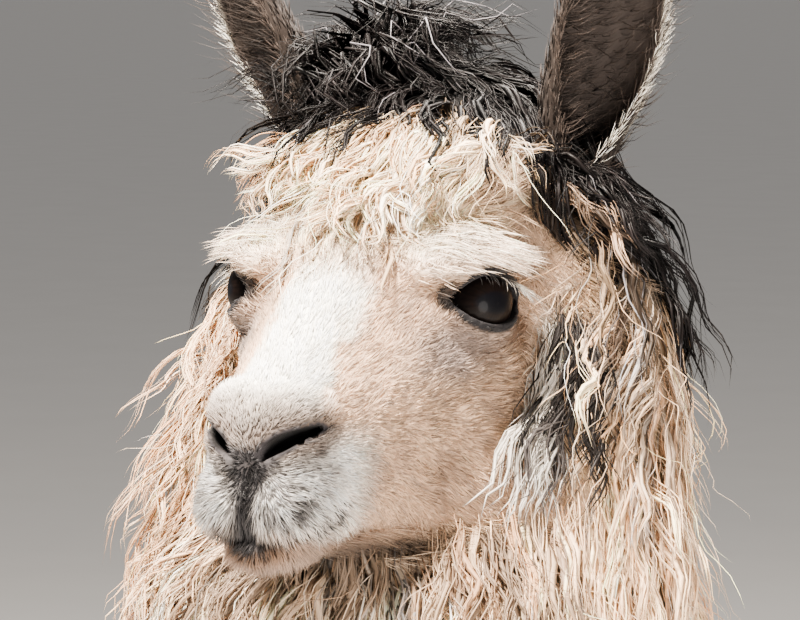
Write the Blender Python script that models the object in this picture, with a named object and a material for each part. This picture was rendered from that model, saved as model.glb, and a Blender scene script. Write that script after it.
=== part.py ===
"""A standing woolly llama, life size: a still model of the kind a museum shows.

Metres, +Z up. The animal faces -Y and its left side is +X; it stands on z = 0, and the middle of
its box stands over the origin. The solids give the outline out to the tips of the coat. The body
is blended whole out of named masses, and then parted with thin plane cuts into head, jaw, neck,
trunk, tail, legs, feet and nails. Ears and eyes are solids of their own, let into the head.
"""

import math

import bmesh
import bpy
import numpy as np
from mathutils import Matrix, Vector

# Driving dimensions, in metres. The head's own sizes are in millimetres, in its own frame.
EYE_LEVEL = 1.585  # height of the point midway between the eyes
EYE_FORWARD = 0.60  # and how far it stands ahead of the middle of the body
BACK_HEIGHT = 1.13  # top of the fleece over the back
BELLY_HEIGHT = 0.585  # lowest fleece between the legs
FLEECE_HALF_WIDTH = 0.235  # widest part of the trunk, with the fleece
STANCE_HALF = 0.118  # feet to either side of the middle
FRONT_FOOT = -0.235  # where the feet stand, along Y
HIND_FOOT = 0.395
CUT_GAP = 0.0003  # left between two pieces that meet
SIDES = {"left": 1, "right": -1}

# The head's frame: millimetres from the point midway between the eyes.
EYE_CENTRE = (52.0, -1.0, -5.0)  # to the side, forward, up
EYE_RADIUS = 20.0
EYE_OUTWARD = math.radians(64)  # how far the eye looks out to the side
EYE_OPENING = (21.0, 12.0)  # half length and half height of the lids' opening
EYE_SLANT = math.radians(-14)  # the lids' opening falls towards the nose
EAR_ROOT = (67.0, -82.0, 54.0)
EAR_LENGTH = 158.0
EAR_HALF_WIDTH = 29.0
EAR_HALF_DEPTH = 16.0
EAR_OUTWARD = {1: math.radians(23), -1: math.radians(28)}  # lean away from the middle, by side
EAR_FORWARD = math.radians(10)  # lean towards the face
EAR_TURN = math.radians(38)  # the opening looks forward and this much outward

# Where the body is parted. Each height is that of a level cut.
LEG_TOP = 0.572
KNEE = 0.355
HOCK = 0.425
FETLOCK = 0.098
NAPE_CUT = ((0.0, -84.0, -62.0), (0.0, 0.80, 0.60))  # head frame: a point, and the head's side
NECK_END = ((0.0, 0.0, -70.0), (0.0, -0.60, -0.80))  # beyond this plane nothing is neck
THROAT_CUT = ((0.0, 0.0, -128.0), (0.0, 0.0, 1.0))  # the same, below the jaw
NECK_BASE_CUT = ((0.0, -0.300, 1.085), (0.0, -0.62, 0.785))  # a point, and the neck's side
TAIL_CUT = ((0.0, 0.556, 1.00), (0.0, 1.0, -0.10))  # a point, and the tail's side
JAW_HINGE = (0.0, 34.0, -72.0)  # head frame: back end of the mouth's cut
MOUTH_SLOPE = math.radians(19)  # the mouth falls this much towards the chin
JAW_HALF_WIDTH = 36.0

VOXEL_HEAD = 0.0042
VOXEL_BODY = 0.0075
VOXEL_FOOT = 0.0034


# ---------------------------------------------------------------- frames and materials


def at_head(side, forward, up):
    """A world point from the head's frame, given in millimetres."""
    return Vector((side / 1000, -EYE_FORWARD - forward / 1000, EYE_LEVEL + up / 1000))


def head_direction(side, forward, up):
    return Vector((side, -forward, up)).normalized()


def world_plane(cut_plane):
    """A plane of the head's frame as a world point and direction."""
    point, normal = cut_plane
    return at_head(*point), head_direction(*normal)


def material(name, colour, roughness):
    made = bpy.data.materials.new(name)
    made.use_nodes = True
    shader = made.node_tree.nodes["Principled BSDF"]
    shader.inputs["Base Color"].default_value = (*colour, 1.0)
    shader.inputs["Roughness"].default_value = roughness
    shader.inputs["Metallic"].default_value = 0.0
    made.diffuse_color = (*colour, 1.0)
    return made


# ---------------------------------------------------------------- masses


def add_ellipsoid(bm, centre, radii, pitch=0.0, turn=0.0, lean=0.0, rings=14):
    """A ball stretched to three radii: across, along and up. Angles are in degrees: pitch lifts its
    front, turn swings it about Z, lean tips it about Y."""
    along = Matrix.Rotation(math.radians(-pitch), 4, "X")
    swing = Matrix.Rotation(math.radians(turn), 4, "Z")
    tip = Matrix.Rotation(math.radians(lean), 4, "Y")
    place = Matrix.Translation(centre) @ swing @ tip @ along @ Matrix.Diagonal((*radii, 1.0))
    bmesh.ops.create_uvsphere(bm, u_segments=2 * rings, v_segments=rings, radius=1.0, matrix=place)


def head_ellipsoid(bm, centre, radii, **angles):
    """The same on the head, in millimetres: across, forward, up."""
    add_ellipsoid(bm, at_head(*centre), [r / 1000 for r in radii], **angles)


def smooth_stations(stations, steps):
    """Rows of numbers along a smooth curve (Catmull-Rom) through the given rows."""
    rows = np.array(stations, float)
    rows = np.vstack([2 * rows[0] - rows[1], rows, 2 * rows[-1] - rows[-2]])
    made = []
    for i in range(1, len(rows) - 2):
        before, start, end, after = rows[i - 1 : i + 3]
        for t in np.arange(steps) / steps:
            made.append(
                0.5
                * (
                    2 * start
                    + (end - before) * t
                    + (2 * before - 5 * start + 4 * end - after) * t**2
                    + (3 * start - before - 3 * end + after) * t**3
                )
            )
    return np.array(made + [rows[-2]])


def add_limb(bm, stations, steps=5, segments=28, dome_steps=4):
    """A tube with domed ends through rows of (x, y, z, half width across X, half depth)."""
    rows = smooth_stations(stations, steps)
    points = [Vector(row[:3]) for row in rows]
    tangents = []
    for i in range(len(points)):
        tangents.append((points[min(i + 1, len(points) - 1)] - points[max(i - 1, 0)]).normalized())
    sections = []  # centre, tangent, half width, half depth
    for end, sign in ((0, -1), (-1, 1)):
        dome = []
        reach = min(rows[end][3:])
        for step in range(1, dome_steps):
            angle = math.pi / 2 * step / dome_steps
            centre = points[end] + tangents[end] * (sign * reach * math.sin(angle))
            dome.append((centre, tangents[end], *(rows[end][3:] * math.cos(angle))))
        sections.append(dome)
    body = [(p, t, r[3], r[4]) for p, t, r in zip(points, tangents, rows)]
    sections = sections[0][::-1] + body + sections[1]
    loops = []
    for centre, tangent, half_width, half_depth in sections:
        depth_axis = tangent.cross(Vector((1, 0, 0))).normalized()
        width_axis = depth_axis.cross(tangent)
        loop = []
        for k in range(segments):
            angle = 2 * math.pi * k / segments
            out = width_axis * (half_width * math.cos(angle))
            out += depth_axis * (half_depth * math.sin(angle))
            loop.append(bm.verts.new(centre + out))
        loops.append(loop)
    for low, high in zip(loops, loops[1:]):
        for k in range(segments):
            n = (k + 1) % segments
            bm.faces.new((low[k], low[n], high[n], high[k]))
    bm.faces.new(loops[0][::-1])
    bm.faces.new(loops[-1])


def head_limb(bm, stations, **more):
    """The same on the head: rows of (side, forward, up, half width, half depth) in millimetres."""
    rows = [(*at_head(*row[:3]), row[3] / 1000, row[4] / 1000) for row in stations]
    add_limb(bm, rows, **more)


# ---------------------------------------------------------------- the animal's masses


def head_masses(bm):
    """Skull, face and the short coat over them, and the long wool of the forehead and poll."""
    head_ellipsoid(bm, (0, -50, 6), (62, 72, 60))  # cranium
    head_ellipsoid(bm, (0, -8, 8), (56, 46, 44), pitch=-40)  # forehead
    bridge = [(0, -6, 2, 45, 40), (0, 30, -17, 32, 30), (0, 63, -41, 26, 26), (0, 92, -60, 27, 22)]
    head_limb(bm, bridge)
    head_limb(bm, [(0, -10, -52, 52, 54), (0, 40, -70, 42, 41), (0, 84, -83, 33, 30)])  # muzzle
    head_ellipsoid(bm, (0, 99, -58), (26, 22, 20), pitch=-35)  # nose
    head_ellipsoid(bm, (0, 90, -103), (23, 20, 14))  # chin
    jaws = [(0, 80, -101, 22, 13), (0, 50, -98, 38, 20), (0, 14, -91, 57, 29), (0, -40, -83, 66, 40)]
    head_limb(bm, jaws)
    head_ellipsoid(bm, (0, -36, 44), (74, 46, 37))  # wool of the forehead
    head_ellipsoid(bm, (0, 2, 38), (46, 26, 28), pitch=-42)  # forelock
    head_ellipsoid(bm, (0, -86, 64), (70, 46, 42))  # wool of the poll
    head_ellipsoid(bm, (-44, -86, 104), (35, 28, 42), lean=-6)  # black tuft on the poll
    for side in SIDES.values():
        head_ellipsoid(bm, (side * 15, 100, -89), (18, 24, 19), pitch=-12, turn=-side * 10)  # lip
        head_ellipsoid(bm, (side * 18, 97, -52), (12, 20, 15), pitch=-35, turn=-side * 12)  # wing
        head_ellipsoid(bm, (side * 57, -10, 24), (36, 34, 18), pitch=-14, turn=-side * 18)  # brow
        head_ellipsoid(bm, (side * 50, -48, 46), (46, 42, 36))  # wool before the ear
        face_side = [
            (side * 44, -20, -36, 27, 42),
            (side * 32, 24, -50, 23, 35),
            (side * 21, 64, -66, 18, 27),
        ]
        head_limb(bm, face_side)  # from the cheek bone to the muzzle
        head_ellipsoid(bm, (side * 42, -36, -58), (30, 46, 50))  # cheek
        head_ellipsoid(bm, (side * 62, -82, 16), (50, 44, 64), turn=-side * 8)  # wool below the ear
        head_ellipsoid(bm, (side * 80, -66, -58), (72, 42, 80), turn=-side * 18)  # ruff
        head_ellipsoid(bm, (side * 78, -60, -134), (72, 56, 90), turn=-side * 12)


def neck_rows():
    """The neck with its fleece, from the poll down to the chest: (y, z) come from the head."""
    top = [
        (-88, 36, 72, 56),
        (-86, 0, 84, 64),
        (-84, -60, 100, 66),
        (-68, -105, 124, 88),
        (-60, -140, 145, 114),
        (-66, -210, 145, 132),
    ]
    rows = [
        (0.0, -EYE_FORWARD - forward / 1000, EYE_LEVEL + up / 1000, half / 1000, deep / 1000)
        for forward, up, half, deep in top
    ]
    rows.append((0.0, -0.462, 1.225, 0.136, 0.143))
    rows.append((0.0, -0.372, 1.090, 0.168, 0.185))
    rows.append((0.0, -0.270, 0.955, 0.200, 0.235))
    return rows


def trunk_rows():
    """The trunk with its fleece, from the chest to the rump."""
    middle = (BACK_HEIGHT + BELLY_HEIGHT) / 2
    half_depth = (BACK_HEIGHT - BELLY_HEIGHT) / 2
    return [
        (0.0, -0.250, middle + 0.020, FLEECE_HALF_WIDTH * 0.88, half_depth * 0.93),
        (0.0, -0.120, middle + 0.004, FLEECE_HALF_WIDTH * 0.97, half_depth * 0.98),
        (0.0, 0.080, middle - 0.004, FLEECE_HALF_WIDTH, half_depth),
        (0.0, 0.240, middle + 0.006, FLEECE_HALF_WIDTH * 0.98, half_depth * 0.98),
        (0.0, 0.340, middle + 0.020, FLEECE_HALF_WIDTH * 0.90, half_depth * 0.90),
    ]


def front_leg_rows(side):
    """Shoulder to fetlock: x, y, z, half width, half depth."""
    return [
        (side * 0.125, -0.190, 0.800, 0.090, 0.130),
        (side * 0.122, -0.205, 0.640, 0.071, 0.092),
        (side * 0.120, -0.222, 0.520, 0.050, 0.060),
        (side * 0.119, -0.228, 0.430, 0.038, 0.044),
        (side * STANCE_HALF, -0.234, 0.355, 0.036, 0.041),
        (side * STANCE_HALF, -0.228, 0.280, 0.026, 0.029),
        (side * STANCE_HALF, -0.224, 0.180, 0.024, 0.026),
        (side * STANCE_HALF, -0.226, 0.110, 0.030, 0.032),
        (side * STANCE_HALF, -0.236, 0.065, 0.027, 0.030),
    ]


def hind_leg_rows(side):
    """Hip to fetlock: the thigh runs forward to the stifle and back to the hock."""
    return [
        (side * 0.120, 0.330, 0.850, 0.105, 0.165),
        (side * 0.128, 0.325, 0.690, 0.086, 0.128),
        (side * 0.127, 0.352, 0.575, 0.058, 0.084),
        (side * 0.123, 0.400, 0.490, 0.040, 0.055),
        (side * 0.120, 0.433, 0.425, 0.033, 0.045),
        (side * STANCE_HALF, 0.428, 0.350, 0.027, 0.032),
        (side * STANCE_HALF, 0.416, 0.220, 0.025, 0.028),
        (side * STANCE_HALF, 0.405, 0.115, 0.030, 0.033),
        (side * STANCE_HALF, 0.394, 0.065, 0.027, 0.030),
    ]


def body_masses(bm):
    """Trunk, neck, tail and legs. The head's masses end in the top of the neck."""
    add_limb(bm, trunk_rows(), segments=40)
    add_limb(bm, neck_rows(), segments=36)
    add_ellipsoid(bm, (0, -0.290, 0.900), (0.190, 0.130, 0.215))  # breast
    add_ellipsoid(bm, (0, 0.395, 0.930), (0.190, 0.145, 0.185))  # rump
    add_limb(
        bm,
        [
            (0.0, 0.420, 1.045, 0.056, 0.050),
            (0.0, 0.515, 1.040, 0.064, 0.052),
            (0.0, 0.583, 0.978, 0.070, 0.050),
            (0.0, 0.604, 0.885, 0.062, 0.042),
            (0.0, 0.602, 0.812, 0.034, 0.026),
        ],
    )  # tail
    for side in SIDES.values():
        add_limb(bm, front_leg_rows(side))
        add_limb(bm, hind_leg_rows(side))


def foot_masses(bm, x, y):
    """The pastern's lower end and two toes with their pads and nails. x, y: where the foot stands."""
    add_limb(bm, [(x, y + 0.010, 0.140, 0.028, 0.031), (x, y, 0.060, 0.029, 0.032)])
    for toe in SIDES.values():
        add_ellipsoid(bm, (x + toe * 0.0215, y - 0.026, 0.020), (0.0215, 0.056, 0.034), turn=toe * 5)
        nail = [
            (x + toe * 0.0245, y - 0.056, 0.030, 0.0125, 0.0115),
            (x + toe * 0.0260, y - 0.076, 0.024, 0.0110, 0.0100),
            (x + toe * 0.0266, y - 0.089, 0.015, 0.0080, 0.0070),
        ]
        add_limb(bm, nail, segments=12)


# ---------------------------------------------------------------- blending and parting


def blended(masses, voxel, smoothing):
    """One closed mesh round all the masses, its creases eased."""
    rough = bpy.data.meshes.new("masses")
    masses.to_mesh(rough)
    masses.free()
    shape = bpy.data.objects.new("masses", rough)
    bpy.context.collection.objects.link(shape)
    remesh = shape.modifiers.new("Remesh", "REMESH")
    remesh.mode = "VOXEL"
    remesh.voxel_size = voxel
    ease = shape.modifiers.new("Smooth", "SMOOTH")
    ease.factor = 0.5
    ease.iterations = smoothing
    return applied(shape)


def applied(shape):
    """The object's evaluated mesh. The object is removed."""
    graph = bpy.context.evaluated_depsgraph_get()
    mesh = bpy.data.meshes.new_from_object(shape.evaluated_get(graph))
    bpy.data.objects.remove(shape)
    return mesh


def keep_island(bm, seed):
    """Drops every island but the one with the vertex nearest to the seed."""
    start = min(bm.verts, key=lambda v: (v.co - seed).length_squared)
    reached = {start}
    front = [start]
    while front:
        vert = front.pop()
        for edge in vert.link_edges:
            other = edge.other_vert(vert)
            if other not in reached:
                reached.add(other)
                front.append(other)
    bmesh.ops.delete(bm, geom=[v for v in bm.verts if v not in reached], context="VERTS")


def cut(bm, planes, outset):
    """Keeps what lies on each plane's side and closes it. outset moves the planes away from that."""
    for point, normal in planes:
        away = Vector(normal).normalized()
        bmesh.ops.bisect_plane(
            bm,
            geom=bm.verts[:] + bm.edges[:] + bm.faces[:],
            plane_co=Vector(point) - away * outset,
            plane_no=away,
            dist=1e-6,
            clear_inner=True,
        )
        on_plane = (Vector(point) - away * outset).dot(away)
        rim = [
            e
            for e in bm.edges
            if e.is_boundary and all(abs(v.co.dot(away) - on_plane) < 1e-5 for v in e.verts)
        ]
        bmesh.ops.holes_fill(bm, edges=rim, sides=0)


def portion(name, whole, planes, seed, triangles, look):
    """The part of the blended body between some planes, as an object with flat faces at the cuts."""
    bm = bmesh.new()
    bm.from_mesh(whole)
    cut(bm, planes, outset=0.03)
    keep_island(bm, Vector(seed))
    bmesh.ops.triangulate(bm, faces=bm.faces[:])
    mesh = bpy.data.meshes.new(name)
    bm.to_mesh(mesh)
    bm.free()
    coarse = bpy.data.objects.new(name, mesh)
    bpy.context.collection.objects.link(coarse)
    thin = coarse.modifiers.new("Decimate", "DECIMATE")
    thin.ratio = min(1.0, triangles / len(mesh.polygons))
    mesh = applied(coarse)
    bm = bmesh.new()
    bm.from_mesh(mesh)
    cut(bm, planes, outset=-CUT_GAP / 2)
    keep_island(bm, Vector(seed))
    bmesh.ops.triangulate(bm, faces=bm.faces[:])
    bmesh.ops.recalc_face_normals(bm, faces=bm.faces[:])
    bm.to_mesh(mesh)
    bm.free()
    return placed(name, mesh, look)


def placed(name, mesh, look):
    mesh.name = name
    mesh.materials.clear()
    mesh.materials.append(look)
    mesh.shade_smooth()
    mesh.set_sharp_from_angle(angle=math.radians(50))
    node = bpy.data.objects.new(name, mesh)
    bpy.context.collection.objects.link(node)
    return node


def cutter(name, bm):
    """A helper that only cuts: it is left out of the build."""
    mesh = bpy.data.meshes.new(name)
    bmesh.ops.recalc_face_normals(bm, faces=bm.faces[:])
    bm.to_mesh(mesh)
    bm.free()
    helper = bpy.data.objects.new(name, mesh)
    helper.hide_render = True
    helper.display_type = "WIRE"
    bpy.context.collection.objects.link(helper)
    return helper


def carve(node, helper, operation="DIFFERENCE"):
    boolean = node.modifiers.new(helper.name, "BOOLEAN")
    boolean.operation = operation
    boolean.solver = "EXACT"
    boolean.object = helper


# ---------------------------------------------------------------- eyes, ears, nostrils, mouth


def eye_frame(side):
    """Turns a ball's own axes so that Y looks out of the head and X runs along the lids' opening."""
    gaze = head_direction(side * math.sin(EYE_OUTWARD), math.cos(EYE_OUTWARD), 0.04)
    along = Vector((0, 0, 1)).cross(gaze).normalized()
    along = Matrix.Rotation(side * EYE_SLANT, 3, gaze) @ along
    return gaze, Matrix((along, gaze, along.cross(gaze))).transposed().to_4x4()


def eye_ball(bm, side, radius):
    centre = at_head(side * EYE_CENTRE[0], *EYE_CENTRE[1:])
    place = Matrix.Translation(centre) @ eye_frame(side)[1]
    bmesh.ops.create_uvsphere(bm, u_segments=16, v_segments=10, radius=radius / 1000, matrix=place)


def lid_opening(bm, side):
    """An almond of space in front of the eye, between the lids."""
    gaze, turned = eye_frame(side)
    centre = at_head(side * EYE_CENTRE[0], *EYE_CENTRE[1:]) + gaze * (EYE_RADIUS / 1000)
    size = Matrix.Diagonal((EYE_OPENING[0] / 1000, 0.011, EYE_OPENING[1] / 1000, 1.0))
    place = Matrix.Translation(centre) @ turned @ size
    bmesh.ops.create_uvsphere(bm, u_segments=14, v_segments=8, radius=1.0, matrix=place)


def ear_place(side):
    """The ear's own frame: Z runs up it, -Y looks out of its opening."""
    lean = Matrix.Rotation(side * EAR_OUTWARD[side], 4, "Y") @ Matrix.Rotation(EAR_FORWARD, 4, "X")
    turn = Matrix.Rotation(side * EAR_TURN, 4, "Z")
    return Matrix.Translation(at_head(side * EAR_ROOT[0], *EAR_ROOT[1:])) @ lean @ turn


def ear_ball(bm, side, centre, radii):
    """A long ball in the ear's frame, in millimetres, bent so that the tip curves inwards."""
    made = bmesh.ops.create_uvsphere(bm, u_segments=14, v_segments=10, radius=1.0)
    place = ear_place(side)
    for vert in made["verts"]:
        x, y, z = (c + r * v for c, r, v in zip(centre, radii, vert.co))
        up = z / EAR_LENGTH
        taper = 1.0 - 0.34 * max(0.0, up - 0.35) ** 1.3
        local = Vector((x * taper - side * 15.0 * up**2, y * taper, z))
        vert.co = place @ (local / 1000)


def ear(side_name, side, look):
    """A pointed cup: a long ball, less a smaller one that leaves its rims and back."""
    half = EAR_LENGTH / 2
    bm = bmesh.new()
    ear_ball(bm, side, (0, 0, half - 22), (EAR_HALF_WIDTH, EAR_HALF_DEPTH, half + 22))
    bmesh.ops.recalc_face_normals(bm, faces=bm.faces[:])
    mesh = bpy.data.meshes.new("ear_" + side_name)
    bm.to_mesh(mesh)
    bm.free()
    node = placed("ear_" + side_name, mesh, look)
    bm = bmesh.new()
    cup = (EAR_HALF_WIDTH - 6.0, EAR_HALF_DEPTH, half - 12)
    ear_ball(bm, side, (0, -7.5, half + 10), cup)
    carve(node, cutter("ear_cup_" + side_name, bm))
    return node


def ear_pocket(side):
    """The ear's outside, a gap larger, which the head is hollowed by."""
    half = EAR_LENGTH / 2
    bm = bmesh.new()
    grown = 1000 * CUT_GAP + 0.3
    radii = (EAR_HALF_WIDTH + grown, EAR_HALF_DEPTH + grown, half + 22 + grown)
    ear_ball(bm, side, (0, 0, half - 22), radii)
    return bm


def jaw_block(gap):
    """The space below the mouth's line and ahead of the jaw's hinge."""
    bm = bmesh.new()
    half = JAW_HALF_WIDTH / 1000 + gap
    bmesh.ops.create_cube(bm, size=1.0, matrix=Matrix.Diagonal((2 * half, 0.2, 0.2, 1.0)))
    tilt = Matrix.Rotation(MOUTH_SLOPE, 4, "X")
    corner = Vector((0, -0.1 + gap, -0.1 + gap))
    place = Matrix.Translation(at_head(*JAW_HINGE)) @ tilt @ Matrix.Translation(corner)
    bmesh.ops.transform(bm, matrix=place, verts=bm.verts[:])
    return bm


def head_block():
    """The wedge of space that the head takes: above the throat's cut and ahead of the nape's."""
    (_, nape, level), (_, ahead, above) = NAPE_CUT
    throat = THROAT_CUT[0][2]
    slope = -above / ahead  # millimetres forward for each millimetre up
    grown = 1000 * CUT_GAP / 2
    low, high = throat - grown, throat + 500
    outline = []
    for up in (low, high):
        outline.append((nape + slope * (up - level) - grown / ahead, up))
    outline += [(high, high), (high, low)]
    bm = bmesh.new()
    rings = []
    for side in (-250, 250):
        rings.append([bm.verts.new(at_head(side, forward, up)) for forward, up in outline])
    for k in range(4):
        n = (k + 1) % 4
        bm.faces.new((rings[0][k], rings[0][n], rings[1][n], rings[1][k]))
    bm.faces.new(rings[0][::-1])
    bm.faces.new(rings[1])
    return bm


def nostril(bm, side):
    head_ellipsoid(
        bm, (side * 19, 110, -57), (5.5, 15, 8), pitch=-38, turn=-side * 34, lean=side * 38, rings=6
    )


# ---------------------------------------------------------------- the nodes


def build_head(look, jaw_look, ear_look, eye_look):
    bm = bmesh.new()
    head_masses(bm)
    add_limb(bm, neck_rows()[:7], segments=36)
    whole = blended(bm, VOXEL_HEAD, smoothing=7)
    planes = [world_plane(NAPE_CUT), world_plane(THROAT_CUT)]
    head = portion("head", whole, planes, at_head(0, 40, 0), 1590, look)
    jaw = placed("lower_jaw", head.data.copy(), jaw_look)
    carve(jaw, cutter("jaw_space", jaw_block(0.0)), "INTERSECT")
    carve(head, cutter("jaw_room", jaw_block(CUT_GAP)))
    for side_name, sign in SIDES.items():
        ear(side_name, sign, ear_look)
        carve(head, cutter("ear_pocket_" + side_name, ear_pocket(sign)))
        bm = bmesh.new()
        eye_ball(bm, sign, EYE_RADIUS + 1000 * CUT_GAP)
        carve(head, cutter("eye_socket_" + side_name, bm))
        bm = bmesh.new()
        lid_opening(bm, sign)
        carve(head, cutter("lid_opening_" + side_name, bm))
        bm = bmesh.new()
        nostril(bm, sign)
        carve(head, cutter("nostril_" + side_name, bm))
        mesh = bpy.data.meshes.new("eye_" + side_name)
        bm = bmesh.new()
        eye_ball(bm, sign, EYE_RADIUS)
        bm.to_mesh(mesh)
        bm.free()
        placed("eye_" + side_name, mesh, eye_look)


def build_body(look):
    bm = bmesh.new()
    body_masses(bm)
    head_masses(bm)
    whole = blended(bm, VOXEL_BODY, smoothing=9)
    base_point, base_side = NECK_BASE_CUT
    tail_point, tail_side = TAIL_CUT
    neck_base = (base_point, base_side)
    above_legs = ((0, 0, LEG_TOP), (0, 0, 1))
    below_trunk = ((0, 0, LEG_TOP), (0, 0, -1))
    neck = portion("neck", whole, [world_plane(NECK_END), neck_base], (0, -0.62, 1.35), 800, look)
    carve(neck, cutter("head_room", head_block()))
    trunk_planes = [
        (base_point, -Vector(base_side)),
        (tail_point, -Vector(tail_side)),
        above_legs,
    ]
    portion("trunk", whole, trunk_planes, (0, 0, 1.13), 980, look)
    tail_planes = [(tail_point, tail_side), above_legs]
    portion("tail", whole, tail_planes, (0, 0.66, 0.95), 200, look)
    for end, joint, y in (("front", KNEE, FRONT_FOOT), ("hind", HOCK, HIND_FOOT)):
        for side_name, sign in SIDES.items():
            name = f"leg_{end}_{side_name}"
            seed = (sign * STANCE_HALF, y, 0.5)
            upper = [below_trunk, ((0, 0, joint), (0, 0, 1))]
            portion(name + "_upper", whole, upper, seed, 170, look)
            lower = [((0, 0, joint), (0, 0, -1)), ((0, 0, FETLOCK), (0, 0, 1))]
            portion(name + "_lower", whole, lower, seed, 170, look)


def build_feet(look, nail_look):
    for end, y in (("front", FRONT_FOOT), ("hind", HIND_FOOT)):
        for side_name, sign in SIDES.items():
            bm = bmesh.new()
            x = sign * STANCE_HALF
            foot_masses(bm, x, y)
            whole = blended(bm, VOXEL_FOOT, smoothing=5)
            floor = ((0, 0, -CUT_GAP / 2), (0, 0, 1))
            nail_root = (Vector((x, y - 0.070, 0.03)), Vector((0, -1, -0.25)))
            behind = (nail_root[0], -nail_root[1])
            planes = [((0, 0, FETLOCK), (0, 0, -1)), floor, behind]
            name = f"foot_{end}_{side_name}"
            portion(name, whole, planes, (x, y, 0.06), 220, look)
            for toe_name, toe in (("outer", sign), ("inner", -sign)):
                seed = (x + toe * 0.026, y - 0.088, 0.016)
                nail = f"nail_{end}_{side_name}_{toe_name}"
                portion(nail, whole, [floor, nail_root], seed, 60, nail_look)


def centre_over_origin():
    """Moves the whole animal along X and Y, so that the middle of its box stands over the origin."""
    shown = [o for o in bpy.data.objects if not o.hide_render]
    middle = []
    for axis in (0, 1):
        ends = [v.co[axis] for o in shown for v in o.data.vertices]
        middle.append((min(ends) + max(ends)) / 2)
    shift = Matrix.Translation((-middle[0], -middle[1], 0))
    for mesh in bpy.data.meshes:
        mesh.transform(shift)


def main():
    for old in list(bpy.data.objects):
        bpy.data.objects.remove(old)
    fleece = material("fleece", (0.72, 0.60, 0.47), 0.95)
    face = material("face_hair", (0.78, 0.68, 0.58), 0.9)
    ear_hair = material("ear_hair", (0.22, 0.18, 0.16), 0.9)
    leg_hair = material("leg_hair", (0.70, 0.62, 0.53), 0.9)
    eye_look = material("eye", (0.02, 0.018, 0.018), 0.08)
    nail_look = material("nail", (0.10, 0.085, 0.075), 0.45)
    build_head(face, face, ear_hair, eye_look)
    build_body(fleece)
    build_feet(leg_hair, nail_look)
    centre_over_origin()


if __name__ == "__main__":
    main()
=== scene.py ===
"""The looks of a standing woolly llama: skin, coat, eyes, nails, floor, light and camera.

The skin is one surface found from a distance field of named masses, a coat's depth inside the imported
solids. The coat is solid mesh: short spikes of hair on the face and legs, long wavy locks elsewhere,
grown along a field that says which way the hair lies. Skin and coat take their colours from the same
markings. Sizes on the head are in millimetres in its own frame: to the side, forward and up from the
point midway between the eyes. All else is in metres.
"""

import math

import bmesh
import bpy
import numpy as np
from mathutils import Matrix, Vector
from mathutils.bvhtree import BVHTree


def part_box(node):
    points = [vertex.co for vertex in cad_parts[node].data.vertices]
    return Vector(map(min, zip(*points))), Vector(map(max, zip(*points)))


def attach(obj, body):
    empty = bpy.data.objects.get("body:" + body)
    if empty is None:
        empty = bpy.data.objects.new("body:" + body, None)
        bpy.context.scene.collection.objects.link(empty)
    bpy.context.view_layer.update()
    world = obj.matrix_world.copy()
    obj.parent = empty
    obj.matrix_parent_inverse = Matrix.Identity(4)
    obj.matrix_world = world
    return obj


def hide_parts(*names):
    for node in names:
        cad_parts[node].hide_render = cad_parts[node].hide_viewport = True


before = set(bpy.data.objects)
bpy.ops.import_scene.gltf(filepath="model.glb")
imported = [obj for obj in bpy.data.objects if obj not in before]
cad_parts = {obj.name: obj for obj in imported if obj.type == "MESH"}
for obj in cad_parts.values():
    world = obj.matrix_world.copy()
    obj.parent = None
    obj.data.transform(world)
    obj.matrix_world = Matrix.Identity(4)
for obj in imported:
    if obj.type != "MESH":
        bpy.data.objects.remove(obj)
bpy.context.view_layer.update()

RNG = np.random.default_rng(2150)

# ---------------------------------------------------------------- where things are

EYE_RADIUS = 0.0200
EYE_CENTRE = (52.0, -1.0, -5.0)  # of the left eye, in the head's frame
EYE_OUTWARD = math.radians(64)  # how far the eye looks out to the side
EYE_SLANT = math.radians(5)  # the lids' opening rises a little towards the nose
ASIDE, BACK, UP = np.eye(3)  # to the animal's left, towards its tail, and upwards
DOWN = np.array([0.0, 0.0, -1.0])
SIDES = (("left", 1), ("right", -1))


def middle(node):
    low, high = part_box(node)
    return (np.array(low) + np.array(high)) / 2


EYES = {"left": middle("eye_left"), "right": middle("eye_right")}
EYE_MIDDLE = (EYES["left"] + EYES["right"]) / 2
HEAD = EYE_MIDDLE + np.array([0.0, EYE_CENTRE[1], -EYE_CENTRE[2]]) / 1000  # the head frame's origin
BODY = np.array([HEAD[0], HEAD[1] + 0.60, 0.0])  # on the floor, under the middle of the trunk


def at_head(side, forward, up):
    """World points from the head's frame, in millimetres."""
    side, forward, up = np.broadcast_arrays(side, forward, up)
    return np.stack([HEAD[0] + side / 1000, HEAD[1] - forward / 1000, HEAD[2] + up / 1000], -1)


def in_head(points):
    """(side, forward, up) in millimetres of world points."""
    d = (points - HEAD) * 1000
    return d[..., 0], -d[..., 1], d[..., 2]


def to_left(points):
    """The points, with those on the animal's right mirrored to its left."""
    return np.column_stack([HEAD[0] + np.abs(points[:, 0] - HEAD[0]), points[:, 1:]])


def unit(v):
    return v / np.maximum(np.linalg.norm(v, axis=-1, keepdims=True), 1e-9)


def step(low, high, x):
    """0 below low, 1 above high, and smooth between: low may be the larger."""
    t = np.clip((x - low) / (high - low), 0.0, 1.0)
    return t * t * (3 - 2 * t)


def valued(amount, points):
    """An amount at each point: the same number for all, or what a function of the points says."""
    return amount(points) if callable(amount) else np.full(len(points), float(amount))


# ---------------------------------------------------------------- the distance field

FAR = 1.0  # metres: the field's value where no mass is near
MARGIN = 0.045  # a mass counts this far outside its own box
CURVE_STEPS = 4  # straight lengths between two given rows of a limb or groove


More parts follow.
